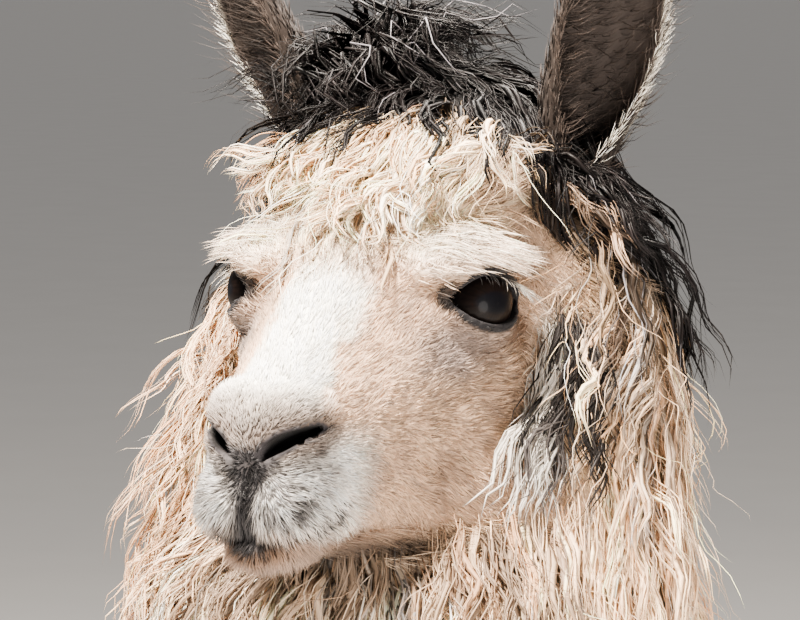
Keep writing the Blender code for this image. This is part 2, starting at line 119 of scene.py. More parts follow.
def about(axis, angle):
    """Rotation in radians about axis 0, 1 or 2."""
    made = np.eye(3)
    a, b = (axis + 1) % 3, (axis + 2) % 3
    made[a, a] = made[b, b] = math.cos(angle)
    made[b, a], made[a, b] = math.sin(angle), -math.sin(angle)
    return made


def turned(pitch=0.0, turn=0.0):
    """Rotation from degrees: pitch lifts the front, turn swings about Z."""
    return about(2, math.radians(turn)) @ about(0, -math.radians(pitch))


class Ball:
    """A stretched ball. Its distance is near enough the true one close to its surface."""

    def __init__(self, centre, radii, blend, rotation=None):
        self.centre = np.array(centre, float)
        self.radii = np.array(radii, float)
        self.rotation = np.eye(3) if rotation is None else rotation
        self.blend = blend
        reach = np.abs(self.rotation) @ self.radii
        self.low, self.high = self.centre - reach, self.centre + reach

    def distance(self, points):
        local = (points - self.centre) @ self.rotation
        near = np.linalg.norm(local / self.radii, axis=-1)
        steep = np.linalg.norm(local / self.radii**2, axis=-1)
        return near * (near - 1.0) / np.maximum(steep, 1e-6)


class Limb:
    """A bent tube with round ends through rows of (x, y, z, half width across X, half depth)."""

    def __init__(self, rows, blend):
        self.rows = smooth_rows(rows)
        self.blend = blend
        reach = self.rows[:, 3:].max(1)[:, None]
        self.low = (self.rows[:, :3] - reach).min(0)
        self.high = (self.rows[:, :3] + reach).max(0)

    def distance(self, points):
        best = np.full(len(points), FAR)
        for start, end in zip(self.rows, self.rows[1:]):
            along = end[:3] - start[:3]
            t = np.clip((points - start[:3]) @ along / (along @ along), 0.0, 1.0)
            off = points - (start[:3] + t[:, None] * along)
            half = start[3] + t * (end[3] - start[3])
            deep = start[4] + t * (end[4] - start[4])
            lower = np.minimum(half, deep)
            flat = np.sqrt((off[:, 0] / half) ** 2 + (off[:, 1] ** 2 + off[:, 2] ** 2) / deep**2)
            best = np.minimum(best, (flat - 1.0) * lower)
        return best


def smooth_rows(rows):
    """Rows along a smooth curve (Catmull-Rom) through the given rows."""
    rows = np.array(rows, float)
    rows = np.vstack([2 * rows[0] - rows[1], rows, 2 * rows[-1] - rows[-2]])
    made = []
    for i in range(1, len(rows) - 2):
        a, b, c, d = rows[i - 1 : i + 3]
        for t in np.arange(CURVE_STEPS) / CURVE_STEPS:
            curve = 2 * b + (c - a) * t + (2 * a - 5 * b + 4 * c - d) * t**2
            made.append(0.5 * (curve + (3 * b - a - 3 * c + d) * t**3))
    return np.array(made + [rows[-2]])


def head_ball(centre, radii, blend, **angles):
    return Ball(at_head(*centre), np.array(radii) / 1000, blend / 1000, turned(**angles))


def head_limb(rows, blend):
    made = [(*at_head(*row[:3]), row[3] / 1000, row[4] / 1000) for row in rows]
    return Limb(made, blend / 1000)


def body_limb(rows, blend=0.03):
    return Limb([(x, y + BODY[1], z, half, deep) for x, y, z, half, deep in rows], blend)


def body_ball(centre, radii, blend=0.03, **angles):
    return Ball(centre + np.array([0, BODY[1], 0]), radii, blend, turned(**angles))


# ---------------------------------------------------------------- the animal's masses, left side

STANCE_HALF = 0.118  # feet to either side of the middle
FRONT_FOOT = -0.235  # where the feet stand, along Y from BODY
HIND_FOOT = 0.395
LID_WALL = 0.0032  # how far the lids' mass stands out round the eyeball


def head_masses():
    """Skull, muzzle and cheeks as they are under the coat."""
    bridge = [(0, -6, 0, 42, 37), (0, 30, -18, 29, 28), (0, 63, -42, 22.5, 24), (0, 92, -61, 24, 20)]
    muzzle = [(0, -10, -52, 49, 51), (0, 40, -70, 38, 38), (0, 84, -83, 29, 28)]
    jaws = [(0, 78, -99, 19, 12), (0, 50, -97, 34, 18), (0, 14, -90, 51, 26), (0, -40, -82, 58, 35)]
    face_side = [(42, -20, -36, 24, 39), (29, 24, -50, 21, 33), (19, 64, -65, 16, 25)]
    return [
        head_ball((0, -50, 4), (56, 68, 52), 14),
        head_ball((0, -12, 6), (52, 44, 38), 14, pitch=-40),
        head_limb(bridge, 12),
        head_limb(muzzle, 12),
        head_limb(jaws, 12),
        head_limb(face_side, 16),
        head_ball((40, -36, -56), (27, 43, 45), 16),
        head_ball((45, 5, 14), (22, 24, 11), 10, pitch=-10, turn=-16),  # orbit, above the eye
        head_ball((47, -5, -30), (18, 26, 9), 10, pitch=-16, turn=-14),  # and below it
        head_ball((0, 99, -58), (23.5, 19.5, 18), 7, pitch=-35),  # nose
        head_ball((17, 97, -51), (10, 18, 13), 6, pitch=-38, turn=-16),  # nostril's wing
        head_ball((13.5, 98.5, -87), (16.5, 21.5, 16.5), 7, pitch=-12, turn=-12),  # upper lip
        head_ball((0, 91, -106), (19, 22, 10), 6, pitch=-6),  # lower lip and chin
        Ball(lid_centre(), np.full(3, EYE_RADIUS + LID_WALL), 0.006),
    ]


def undercoat_masses():
    """The dense wool of the crown, forehead and ruff, which the longer locks lie on."""
    ruff = [
        (48, -86, 40, 24, 24), (60, -83, 8, 36, 34), (72, -80, -40, 44, 42), (76, -77, -80, 44, 44),
        (78, -74, -125, 42, 46),
    ]
    return [
        head_ball((0, -54, 40), (66, 42, 45), 12),
        head_ball((0, -84, 56), (61, 34, 42), 12),
        head_ball((0, -27, 47), (60, 27, 25), 10),
        head_ball((0, -22, -157), (90, 72, 46), 14),
        head_limb(ruff, 16),
    ]


def body_masses():
    """Neck, trunk, tail and legs under the fleece."""
    neck = [
        (*at_head(0, -86, 12), 0.050, 0.048), (*at_head(0, -84, -60), 0.072, 0.056),
        (*at_head(0, -70, -105), 0.094, 0.066), (*at_head(0, -62, -145), 0.112, 0.086),
        (*at_head(0, -66, -210), 0.113, 0.100), (0, BODY[1] - 0.460, 1.225, 0.104, 0.111),
        (0, BODY[1] - 0.37, 1.09, 0.135, 0.152), (0, BODY[1] - 0.27, 0.955, 0.166, 0.202),
    ]
    trunk = [
        (0, -0.25, 0.872, 0.166, 0.215), (0, -0.12, 0.858, 0.186, 0.224), (0, 0.08, 0.850, 0.190, 0.228),
        (0, 0.24, 0.860, 0.187, 0.222), (0, 0.33, 0.875, 0.172, 0.205),
    ]
    tail = [
        (0, 0.40, 1.035, 0.034, 0.034), (0, 0.50, 1.028, 0.028, 0.028), (0, 0.57, 0.975, 0.022, 0.022),
        (0, 0.592, 0.90, 0.017, 0.017), (0, 0.592, 0.84, 0.012, 0.012),
    ]
    front = [
        (0.120, -0.19, 0.80, 0.066, 0.100), (0.120, -0.205, 0.64, 0.052, 0.070),
        (0.119, -0.222, 0.52, 0.041, 0.050), (0.118, -0.228, 0.43, 0.0315, 0.0375),
        (0.118, -0.234, 0.355, 0.0315, 0.0365), (0.118, -0.228, 0.28, 0.0225, 0.0255),
        (0.118, -0.224, 0.18, 0.0205, 0.0225), (0.118, -0.226, 0.11, 0.0265, 0.0285),
        (0.118, -0.236, 0.055, 0.0255, 0.0285),
    ]
    hind = [
        (0.115, 0.33, 0.85, 0.082, 0.140), (0.122, 0.325, 0.69, 0.066, 0.106),
        (0.122, 0.352, 0.575, 0.047, 0.071), (0.120, 0.40, 0.49, 0.033, 0.047),
        (0.118, 0.433, 0.425, 0.0285, 0.0400), (0.118, 0.428, 0.35, 0.0235, 0.0285),
        (0.118, 0.416, 0.22, 0.0215, 0.0245), (0.118, 0.405, 0.115, 0.0265, 0.0295),
        (0.118, 0.394, 0.055, 0.0255, 0.0285),
    ]
    made = [
        Limb(neck, 0.03),
        body_limb(trunk),
        body_limb(tail, 0.02),
        body_ball((0, -0.29, 0.90), (0.150, 0.100, 0.182)),
        body_ball((0, 0.385, 0.93), (0.150, 0.115, 0.150)),
        body_limb(front, 0.02),
        body_limb(hind, 0.02),
    ]
    for foot in (FRONT_FOOT, HIND_FOOT):
        for toe in (-1, 1):
            centre = (STANCE_HALF + toe * 0.0215, foot - 0.024, 0.020)
            made.append(body_ball(centre, (0.0180, 0.051, 0.0305), 0.005, turn=toe * 5))
    return made


def lid_centre():
    """The left eye's middle."""
    return at_head(*EYE_CENTRE)


def eye_axes():
    """Unit directions of the left eye: along the lids' opening towards its outer end, out, up."""
    gaze = unit(np.array([math.sin(EYE_OUTWARD), -math.cos(EYE_OUTWARD), 0.04]))
    along = unit(np.cross(UP, gaze))
    above = np.cross(gaze, along)
    c, s = math.cos(-EYE_SLANT), math.sin(-EYE_SLANT)
    return c * along + s * above, gaze, c * above - s * along


LID_HALF = 20.0  # millimetres: half the length of the lids' opening
LID_ABOVE = 12.0  # how far the upper lid arches above the line of the corners
LID_BELOW = 9.8
LID_SKEW = 0.012  # how much higher the upper lid is towards the nose


def lid_edge(points):
    """Millimetres outside the lids' opening, seen along the gaze; and how far out the point lies."""
    along, gaze, above = eye_axes()
    local = (to_left(points) - lid_centre()) * 1000
    a, out, up = local @ along, local @ gaze, local @ above
    span = 1.0 - ((a - 1.0) / LID_HALF) ** 2
    arch = np.sign(span) * np.abs(span) ** 0.7
    return np.maximum(up - LID_ABOVE * arch * (1.0 - LID_SKEW * a), -LID_BELOW * arch - up), out


class LidOpening:
    """The almond of space between the lids, down to the eyeball's side."""

    blend = 0.0012

    def __init__(self):
        self.low, self.high = lid_centre() - 0.03, lid_centre() + 0.03

    def distance(self, points):
        edge, out = lid_edge(points)
        return np.maximum(edge, 4.5 - out) / 1000


class Groove:
    """A narrow channel along points on the head, each with its radius, all in millimetres. depth
    carries it on into the head along inward."""

    def __init__(self, rows, blend, inward=(0, -1, 0), depth=0.0):
        self.rows = smooth_rows(rows)
        self.blend = blend / 1000
        self.copies = [np.array(inward, float) * d for d in np.arange(0, depth + 1, 2.5)]
        ends = np.vstack([self.rows[:, :3] + c for c in self.copies])
        reach = self.rows[:, 3].max() / 1000 + 0.01
        world = at_head(*ends.T)
        self.low, self.high = world.min(0) - reach, world.max(0) + reach

    def distance(self, points):
        best = np.full(len(points), FAR)
        for copy in self.copies:
            centres = at_head(*(self.rows[:, :3] + copy).T)
            for i in range(len(centres) - 1):
                along = centres[i + 1] - centres[i]
                t = np.clip((points - centres[i]) @ along / max(along @ along, 1e-12), 0.0, 1.0)
                off = np.linalg.norm(points - centres[i] - t[:, None] * along, axis=1)
                radius = self.rows[i, 3] + t * (self.rows[i + 1, 3] - self.rows[i, 3])
                best = np.minimum(best, off - radius / 1000)
        return best


NOSTRIL = [
    (8, 118, -65, 1.6), (12, 117, -61.5, 2.8), (17.5, 113, -58, 3.2), (23, 106, -55, 2.5),
    (27, 99.5, -53, 1.2),
]
MOUTH = [(0, 123, -104), (10, 120, -104), (19, 114, -102.5), (27, 103, -98), (32, 91, -93), (34, 84, -90)]
PHILTRUM = [(0, 118, -68), (0, 122, -76), (0, 124, -88), (0, 123, -102)]
NOSE_FOLD = [(9, 117, -66), (4, 120, -70), (0, 121, -75)]

MASSES = head_masses() + undercoat_masses() + body_masses()
HOLLOWS = []
SOLE_LEVEL = 0.0008


def soft_min(a, b, reach):
    h = np.clip(0.5 + 0.5 * (b - a) / reach, 0.0, 1.0)
    return b + (a - b) * h - reach * h * (1.0 - h)


def field(points, margin=MARGIN):
    """Distance outside the skin, in metres. The animal under its coat is the same on both sides."""
    p = to_left(points)
    value = np.full(len(p), FAR)
    for mass in MASSES:
        near = np.all((p > mass.low - margin) & (p < mass.high + margin), axis=1)
        if near.any():
            value[near] = soft_min(value[near], mass.distance(p[near]), mass.blend)
    for hollow in HOLLOWS:
        near = np.all((p > hollow.low) & (p < hollow.high), axis=1)
        if near.any():
            value[near] = -soft_min(-value[near], hollow.distance(p[near]), hollow.blend)
    return np.maximum(value, SOLE_LEVEL - p[:, 2])


TETRA = np.array([[1, 1, 1], [1, -1, -1], [-1, 1, -1], [-1, -1, 1]], float)
SLOPE_STEP = 0.0004  # metres to each side when a slope is measured


def height_and_slope(points, margin=MARGIN):
    """The field and its gradient."""
    total, height = np.zeros_like(points), np.zeros(len(points))
    for corner in TETRA:
        value = field(points + SLOPE_STEP * corner, margin)
        total += corner * value[:, None]
        height += value / 4
    return height, total / (4 * SLOPE_STEP)


def settle(points, rounds=3, most=0.004):
    """Moves points along the gradient onto the skin."""
    for _ in range(rounds):
        height, g = height_and_slope(points)
        gap = height / np.maximum((g * g).sum(1), 0.2)
        points = points - np.clip(gap, -most, most)[:, None] * g
    return points


def on_skin(rows, radius):
    """Head-frame points moved onto the skin, each with a radius appended."""
    s, f, u = in_head(settle(at_head(*np.array(rows, float).T)))
    return [(a, b, c, radius) for a, b, c in zip(s, f, u)]


def add_hollows():
    mouth = Groove(on_skin(MOUTH, 1.5), 1.6)
    philtrum = Groove(on_skin(PHILTRUM, 1.3), 1.6)
    fold = Groove(on_skin(NOSE_FOLD, 1.1), 1.4)
    nostril = Groove(NOSTRIL, 1.5, inward=(-0.12, -1.0, -0.15), depth=12.0)
    HOLLOWS.extend([nostril, mouth, philtrum, fold, LidOpening()])


add_hollows()
GROOVES = HOLLOWS[:4]

# ---------------------------------------------------------------- the skin's surface


def axis_steps(marks):
    """Grid lines from (end, spacing) stretches, after a first start value."""
    lines = [marks[0]]
    for end, spacing in marks[1:]:
        count = max(1, round((end - lines[-1]) / spacing))
        lines.extend(np.linspace(lines[-1], end, count + 1)[1:])
    return np.array(lines)


def sampled(xs, ys, zs):
    """The field on a grid whose x lines are all on the left side."""
    value = np.full((len(xs), len(ys), len(zs)), FAR)
    grids = (xs, ys, zs)
    for shape, sign, margin in [(m, 1, MARGIN) for m in MASSES] + [(h, -1, 0.0) for h in HOLLOWS]:
        spans = []
        for lines, low, high in zip(grids, shape.low - margin, shape.high + margin):
            spans.append(slice(np.searchsorted(lines, low), np.searchsorted(lines, high)))
        block = value[tuple(spans)]
        if block.size == 0:
            continue
        mesh = np.meshgrid(*[lines[s] for lines, s in zip(grids, spans)], indexing="ij")
        found = shape.distance(np.stack([m.ravel() for m in mesh], 1)).reshape(block.shape)
        value[tuple(spans)] = sign * soft_min(sign * block, found, shape.blend)
    return np.maximum(value, SOLE_LEVEL - zs[None, None, :])


CORNERS = [(i, j, k) for i in (0, 1) for j in (0, 1) for k in (0, 1)]


def surface_net(value, xs, ys, zs):
    """Vertices and quads of the zero surface: a vertex in each cell that it crosses."""
    inside = value < 0
    corner = {c: tuple(slice(a, n - 1 + a) for a, n in zip(c, value.shape)) for c in CORNERS}
    count = sum(inside[corner[c]].astype(np.int8) for c in CORNERS)
    mixed = (count > 0) & (count < 8)
    cells = np.argwhere(mixed)
    number = np.full(mixed.shape, -1)
    number[mixed] = np.arange(len(cells))
    total = np.zeros((len(cells), 3))
    hits = np.zeros(len(cells))
    at = {c: value[corner[c]][mixed] for c in CORNERS}
    for axis in range(3):
        for c in CORNERS:
            if c[axis]:
                continue
            d = tuple(1 if a == axis else v for a, v in enumerate(c))
            crossed = (at[c] < 0) != (at[d] < 0)
            place = np.tile(np.array(c, float), (len(cells), 1))
            place[:, axis] = at[c] / np.where(crossed, at[c] - at[d], 1.0)
            total[crossed] += place[crossed]
            hits += crossed
    local = total / hits[:, None]
    points = np.empty_like(local)
    for axis, lines in enumerate((xs, ys, zs)):
        low = lines[cells[:, axis]]
        points[:, axis] = low + local[:, axis] * (lines[cells[:, axis] + 1] - low)
    quads = []
    for axis in range(3):
        b, c = (axis + 1) % 3, (axis + 2) % 3
        low, high = [slice(None)] * 3, [slice(None)] * 3
        low[axis], high[axis] = slice(0, -1), slice(1, None)
        edges = np.argwhere(inside[tuple(low)] != inside[tuple(high)])
        edges = edges[(edges[:, b] > 0) & (edges[:, c] > 0)]
        edges = edges[(edges[:, b] < value.shape[b] - 1) & (edges[:, c] < value.shape[c] - 1)]
        ring = []
        for db, dc in ((1, 1), (0, 1), (0, 0), (1, 0)):
            cell = edges.copy()
            cell[:, b] -= db
            cell[:, c] -= dc
            ring.append(number[tuple(cell.T)])
        ring = np.stack(ring, 1)
        outward = inside[tuple(edges.T)]
        quads.append(np.where(outward[:, None], ring, ring[:, ::-1]))
    return points, np.vstack(quads)


def skin_grid():
    """Fine lines round the head and the feet, coarser ones elsewhere."""
    xs = axis_steps([0.0, (0.078, 0.0031), (0.245, 0.0085)])
    ys = axis_steps([HEAD[1] - 0.145, (HEAD[1] + 0.07, 0.0030), (BODY[1] + 0.65, 0.0085)])
    zs = axis_steps([-0.009, (0.13, 0.0050), (HEAD[2] - 0.14, 0.0095), (HEAD[2] + 0.100, 0.0030)])
    return xs, ys, zs


def linked(name, data):
    obj = bpy.data.objects.new(name, data)
    bpy.context.collection.objects.link(obj)
    return obj


def vectors(mesh, what="co"):
    """The places of a mesh's vertices, or their normals."""
    flat = np.empty(len(mesh.vertices) * 3, np.float32)
    mesh.vertices.foreach_get(what, flat)
    return flat.reshape(-1, 3).astype(float)


def refine(mesh, wanted):
    """Splits the faces whose corners are all in the wanted places, and settles the new vertices."""
    bm = bmesh.new()
    bm.from_mesh(mesh)
    flags = wanted(vectors(mesh))
    bm.verts.ensure_lookup_table()
    edges = set()
    for face in bm.faces:
        if all(flags[v.index] for v in face.verts):
            edges.update(face.edges)
    edges = sorted(edges, key=lambda edge: edge.index)
    bmesh.ops.subdivide_edges(bm, edges=edges, cuts=1, use_grid_fill=True)
    bm.to_mesh(mesh)
    bm.free()
    points = vectors(mesh)
    near = wanted(points)
    points[near] = settle(points[near], most=0.0015)
    mesh.vertices.foreach_set("co", points.ravel().astype(np.float32))


def skin_mesh():
    xs, ys, zs = skin_grid()
    half = sampled(xs, ys, zs)
    value = np.concatenate([half[:0:-1], half])
    points, quads = surface_net(value, np.concatenate([-xs[:0:-1], xs]) + HEAD[0], ys, zs)
    mesh = bpy.data.meshes.new("skin")
    mesh.from_pydata(settle(points, rounds=2).tolist(), [], quads.tolist())
    mesh.update()
    for reach in (6.0, 2.0):
        refine(mesh, lambda p: features_near(p, reach))
    return mesh


def features_near(points, reach):
    """True within so many millimetres of the eyes' openings, the nostrils and the mouth."""
    p = to_left(points)
    near = np.zeros(len(p), bool)
    close = np.linalg.norm(p - HEAD, axis=1) < 0.19
    q = p[close]
    edge, out = lid_edge(q)
    found = (np.abs(edge) < reach) & (out > 2.0)
    for groove in GROOVES:
        found |= groove.distance(q) < reach / 1000
    near[close] = found
    return near


# ---------------------------------------------------------------- colours and markings

BRIDGE_WHITE = (0.98, 0.94, 0.85)
FOREHEAD_CREAM = (0.88, 0.68, 0.46)
CHEEK_BEIGE = (0.68, 0.45, 0.29)
LIP_WHITE = (0.94, 0.87, 0.80)
NOSE_GREY = (0.028, 0.025, 0.027)
UNDER_EYE = (0.15, 0.120, 0.115)
RIM_BLACK = (0.012, 0.011, 0.012)
RUST = (0.45, 0.21, 0.08)
RUFF_CREAM = (0.83, 0.555, 0.335)
THROAT_CREAM_PAINTED_LIGHT = (0.95, 0.74, 0.54)
NECK_TAN = (0.50, 0.36, 0.26)
CHIN_TAN = (0.29, 0.165, 0.095)
CHIN_BROWN_AND_SHADE = (0.13, 0.075, 0.045)
FRECKLE = (0.30, 0.22, 0.18)
CLOUD_BROWN = (0.38, 0.24, 0.16)
WISP_BROWN = (0.22, 0.15, 0.11)
CREASE_BROWN = (0.36, 0.26, 0.20)
STREAK_BLACK = (0.030, 0.024, 0.022)
NOSE_BROWN = (0.15, 0.105, 0.078)
NOSE_DARK = (0.06, 0.045, 0.038)
NOSTRIL_EDGE = (0.26, 0.19, 0.15)
NOSTRIL_PAINTED_SHADE = (0.006, 0.005, 0.005)
LID_FUZZ = (0.13, 0.10, 0.09)
MUZZLE_SKIN = (0.10, 0.09, 0.09)
EAR_BACK = (0.040, 0.031, 0.027)
LOCK_WHITE = (0.93, 0.85, 0.73)
WOOL_BLACK = (0.005, 0.004, 0.004)
STREAK_DARK = (0.10, 0.075, 0.055)
JAW_DARK_HAIR_AND_SHADOW = (0.13, 0.085, 0.055)
BODY_CREAM = (0.76, 0.56, 0.36)
SADDLE_BROWN = (0.085, 0.055, 0.038)
LEG_CREAM = (0.64, 0.47, 0.31)
# the cup's dark hair, darkened further as painted shade in the cup
EAR_DARK = (0.021, 0.015, 0.012)
NAIL_DARK = (0.035, 0.030, 0.028)


def blot(points, centre, radii, soft=0.25, **angles):
    """1 inside a stretched ball on the left of the head, 0 outside it; soft is its edge's half width."""
    s, f, u = in_head(points)
    local = np.stack([np.abs(s) - centre[0], centre[1] - f, u - centre[2]], -1) @ turned(**angles)
    return step(1 + soft, 1 - soft, np.linalg.norm(local / np.array(radii), axis=-1))


def ripple(points, size, seed):
    """Smooth noise, about -1 to 1, whose features are size metres across."""
    rng = np.random.default_rng(seed)
    total = np.zeros(len(points))
    for _ in range(7):
        way = rng.normal(size=3)
        way *= 2 * math.pi / (size * rng.uniform(0.7, 1.6) * np.linalg.norm(way))
        total += np.sin(points @ way + rng.uniform(0, 2 * math.pi))
    return total / 2.6


def mixed(colours, colour, amount):
    return colours + (np.array(colour) - colours) * np.clip(amount, 0, 1)[:, None]


PROFILE = ((-60, -20, 0, 22, 50, 80, 108, 120, 124), (62, 58, 47, 32, 5, -22, -42, -58, -90))


def below_profile(f, u):
    """Millimetres under the line of the forehead and nose."""
    return np.interp(f, *PROFILE) - u


def off_groove(points, groove):
    """Millimetres from a groove's own surface, on either side of the head."""
    return groove.distance(to_left(points)) * 1000


NECK_AXIS = ((-900, -385, -245, -140, -60, 40), (330, 230, 135, 76, 86, 84))  # up, and how far back
BLACK_EDGE = ((-330, -150, -80, -40, -10, 15, 40, 60, 120), (62, 48, 44, 34, 6, -22, -37, -45, -48))
WOOL_EDGE = ((-140, -112, -95, -60, -20, 5, 30, 60), (95, 52, -22, -34, -36, -50, -56, -52))


def behind_neck(points):
    """Millimetres behind the neck's middle line."""
    _, f, u = in_head(points)
    return -f - np.interp(u, *NECK_AXIS)


def blackness(points):
    """The black wool: from ear to ear, down behind the eyes and along the nape."""
    s, _, u = in_head(points)
    edge = np.interp(u, *BLACK_EDGE) - 0.12 * np.clip(np.abs(s) - 34, 0, 60) * step(0, 30, u)
    edge = edge + 12 * step(-10, -50, s) * step(30, 60, u)
    ragged = 5 * ripple(points, 0.045, 5) + 3 * ripple(points, 0.018, 6)
    lying = step(-10, 10, behind_neck(points) - edge + ragged)
    return lying * step(0.40, 0.62, points[:, 2] - 0.35) * step(-760, -520, u + 10 * ripple(points, 0.1, 3))


def behind_face(points):
    """Millimetres behind the line on the cheek and jaw where the wool begins."""
    _, f, u = in_head(points)
    return np.interp(u, *WOOL_EDGE) - f


def face_amount(points):
    """1 on the short-haired face and 0 where the wool begins."""
    s, _, u = in_head(points)
    side = np.abs(s)
    temple = step(-5, 5, 3 * ripple(points, 0.03, 9) - behind_face(points) - 0.12 * np.maximum(side - 60, 0))
    return temple * step(3, -3, u - 43 - 0.0035 * side**2 + 1.5 * ripple(points, 0.02, 10))


def coloured(c, layers):
    """Colours with (colour, amount) layers laid over them in turn."""
    for colour, amount in layers:
        c = mixed(c, colour, amount)
    return c


def markings(points):
    """The coat's colour at points of the skin, with painted light and shade in some places."""
    s, f, u = in_head(points)
    side = np.abs(s)
    sway = ripple(points, 0.09, 1)
    z = points[:, 2]
    back = points[:, 1] - BODY[1]
    saddle = step(0.93, 1.05, z + 0.035 * sway - 0.05 * step(0.1, 0.4, back)) * step(-0.36, -0.26, back)
    patch = step(0.18, 0.30, np.abs(points[:, 0]) + 0.5 * (z - 0.80) + 0.05 * ripple(points, 0.22, 2))
    on_neck = step(-460, -330, u) * (back < -0.15)
    dark = step(0.1, 1.0, ripple(points, 0.03, 8)) * step(10, 60, behind_neck(points)) * step(-50, -80, u)
    # painted light: the cream wool under the jaw is made lighter where the head's shadow falls on it
    throat = step(-118, -128, u) * step(-320, -200, u) * step(-60, -25, f) * step(100, 70, side)
    c = coloured(np.tile(BODY_CREAM, (len(points), 1)), (
        (SADDLE_BROWN, np.maximum(saddle, patch * step(0.12, 0.22, back + 0.04 * sway))),
        (LEG_CREAM, step(0.55, 0.45, z)),
        (SADDLE_BROWN, 0.5 * step(0.30, 0.12, z + 0.03 * sway) * step(0.02, 0.12, z)),
        (RUFF_CREAM, on_neck),
        (NECK_TAN, on_neck * 0.6 * step(0.3, 1.0, ripple(points, 0.03, 4))),
        (STREAK_DARK, 0.7 * dark * on_neck),
        (THROAT_CREAM_PAINTED_LIGHT, 0.85 * throat),
        (WOOL_BLACK, blackness(points)),
    ))
    head = (u > -135) & (f > -75)
    if head.any():
        c[head] = head_markings(points[head], c[head])
    return np.clip(c * (1 + 0.05 * ripple(points, 0.012, 11))[:, None], 0, 1)


def head_markings(points, c):
    """The face's colours over the rest."""
    s, f, u = in_head(points)
    side, near = np.abs(s), s > 0
    deep = below_profile(f, u)
    face = face_amount(points)
    nostril, mouth, philtrum, fold = GROOVES
    at_nostril, at_mouth = off_groove(points, nostril), off_groove(points, mouth)
    edge, out = lid_edge(points)
    inner = np.linalg.norm(to_left(points) - LID_CORNER, axis=1) * 1000
    specks = step(0.55, 1.1, ripple(points, 0.006, 12))
    cloud = step(-0.2, 1.0, ripple(points, 0.022, 17))
    bridge = step(34, 16, deep + 0.5 * side + 4 * ripple(points, 0.012, 18))
    wisps = step(0.5, 1.1, ripple(points, 0.007, 15))
    spots = step(0.95, 1.25, ripple(points, 0.011, 14))
    bristles = step(0.2, 1.0, ripple(points, 0.0045, 19)) * step(84, 98, f) * step(-66, -74, u)
    return coloured(c, (
        (CHEEK_BEIGE, face),
        (FOREHEAD_CREAM, step(4, 24, u) * step(-52, -40, f) * step(60, 44, side) * (1 - blackness(points))),
        (FRECKLE, 0.45 * specks * face * step(20, 36, side)),
        (CLOUD_BROWN, 0.6 * cloud * face * step(12, 26, side + 0.4 * deep)),
        (BRIDGE_WHITE, bridge * step(24, 52, f) * step(34, 20, side)),
        # grey hair under the eye, darkened further as painted shade below the eye
        (UNDER_EYE, 0.8 * blot(points, (50, 9, -24), (19, 34, 14), 0.6, pitch=-14)),
        (LOCK_WHITE, 0.8 * blot(points, (46, 6, 17), (20, 22, 9), 0.5, pitch=-10)),
        (LIP_WHITE, step(58, 88, f) * step(-50, -66, u) * face),
        # tan-brown hair of the chin, darkened further as painted shade, most on its underside
        (CHIN_TAN, 0.9 * step(-98, -105, u) * step(50, 72, f)),
        (CHIN_BROWN_AND_SHADE, 0.85 * step(-108, -114, u) * step(66, 80, f)),
        # dark hair under the jaw's edge, and painted shadow of the jaw along it
        (JAW_DARK_HAIR_AND_SHADOW, 0.9 * step(-105, -110, u) * step(-121, -116, u) * step(94, 80, f) * step(-40, -10, f)),
        (WISP_BROWN, 0.85 * wisps * blot(points, (0, 26, 30), (30, 26, 22), 0.4)),
        (CREASE_BROWN, 0.6 * blot(points, (33, 14, 2), (5, 24, 6), 0.7, pitch=-30)),
        (STREAK_BLACK, 0.97 * blot(points, (80, -64, -36), (34, 14, 50), 0.25) * near),
        (LOCK_WHITE, blot(points, (70, -41, -40), (20, 8, 30), 0.3) * near),
        (NOSE_GREY, 0.8 * spots * step(84, 100, f) * (u < -60)),
        (NOSE_BROWN, 0.85 * blot(points, (11, 111, -53), (26, 28, 16), 0.45)),
        (NOSE_DARK, 0.9 * blot(points, (15, 113, -56), (20, 20, 8), 0.6)),
        (NOSTRIL_EDGE, 0.4 * step(11, 2, at_nostril)),
        (NOSE_GREY, step(3.6, 1.0, at_nostril)),
        # painted shade deep in the nostril's groove
        (NOSTRIL_PAINTED_SHADE, step(0.9, 0.2, at_nostril)),
        (RUST, 0.6 * step(9, 3, at_mouth) * step(34, 14, side)),
        # black lip skin along the mouth, and painted shade in the gap between the lips at its front
        (RIM_BLACK, step(3.4, 1.0, at_mouth) * step(40, 30, side)),
        (RIM_BLACK, 0.9 * blot(points, (0, 120, -101), (15, 13, 9), 0.4)),
        (NOSE_GREY, step(7.5, 2.0, off_groove(points, philtrum))),
        (NOSE_GREY, step(8.0, 2.0, off_groove(points, fold))),
        (NOSE_GREY, 0.75 * bristles * step(-101, -94, u)),
        (LID_FUZZ, 0.55 * step(13.0, 4.0, edge) * step(0, 4, out) * step(2, -8, u)),
        (RIM_BLACK, step(6.0, 3.4, edge) * step(0, 4, out)),
        (RIM_BLACK, 0.95 * step(9.5, 5.5, inner)),
    ))


def lid_corner():
    """The end of the left lids' opening towards the nose."""
    along, gaze, above = eye_axes()
    return settle((lid_centre() + (-20.5 * along + 10.5 * gaze + 1.0 * above) / 1000)[None])[0]


LID_CORNER = lid_corner()
# painted shade: the skin under long wool is darkened, as if shaded by the locks over it
PAINTED_SHADE_UNDER_WOOL = 0.55  # how bright the skin is under long wool
LOWEST_WOOL = 0.6  # metres up, where the skin's shading under the wool ends


def skin_colours(points):
    """The markings, with painted shade between the locks and darker where dark skin shows between the
    muzzle's hairs.
    """
    _, f, u = in_head(points)
    c = mixed(markings(points), MUZZLE_SKIN, 0.85 * step(80, 100, f) * step(-62, -72, u))
    shade = PAINTED_SHADE_UNDER_WOOL + (1 - PAINTED_SHADE_UNDER_WOOL) * face_amount(points)
    return c * np.where(points[:, 2] > LOWEST_WOOL, shade, 1.0)[:, None]


# ---------------------------------------------------------------- materials


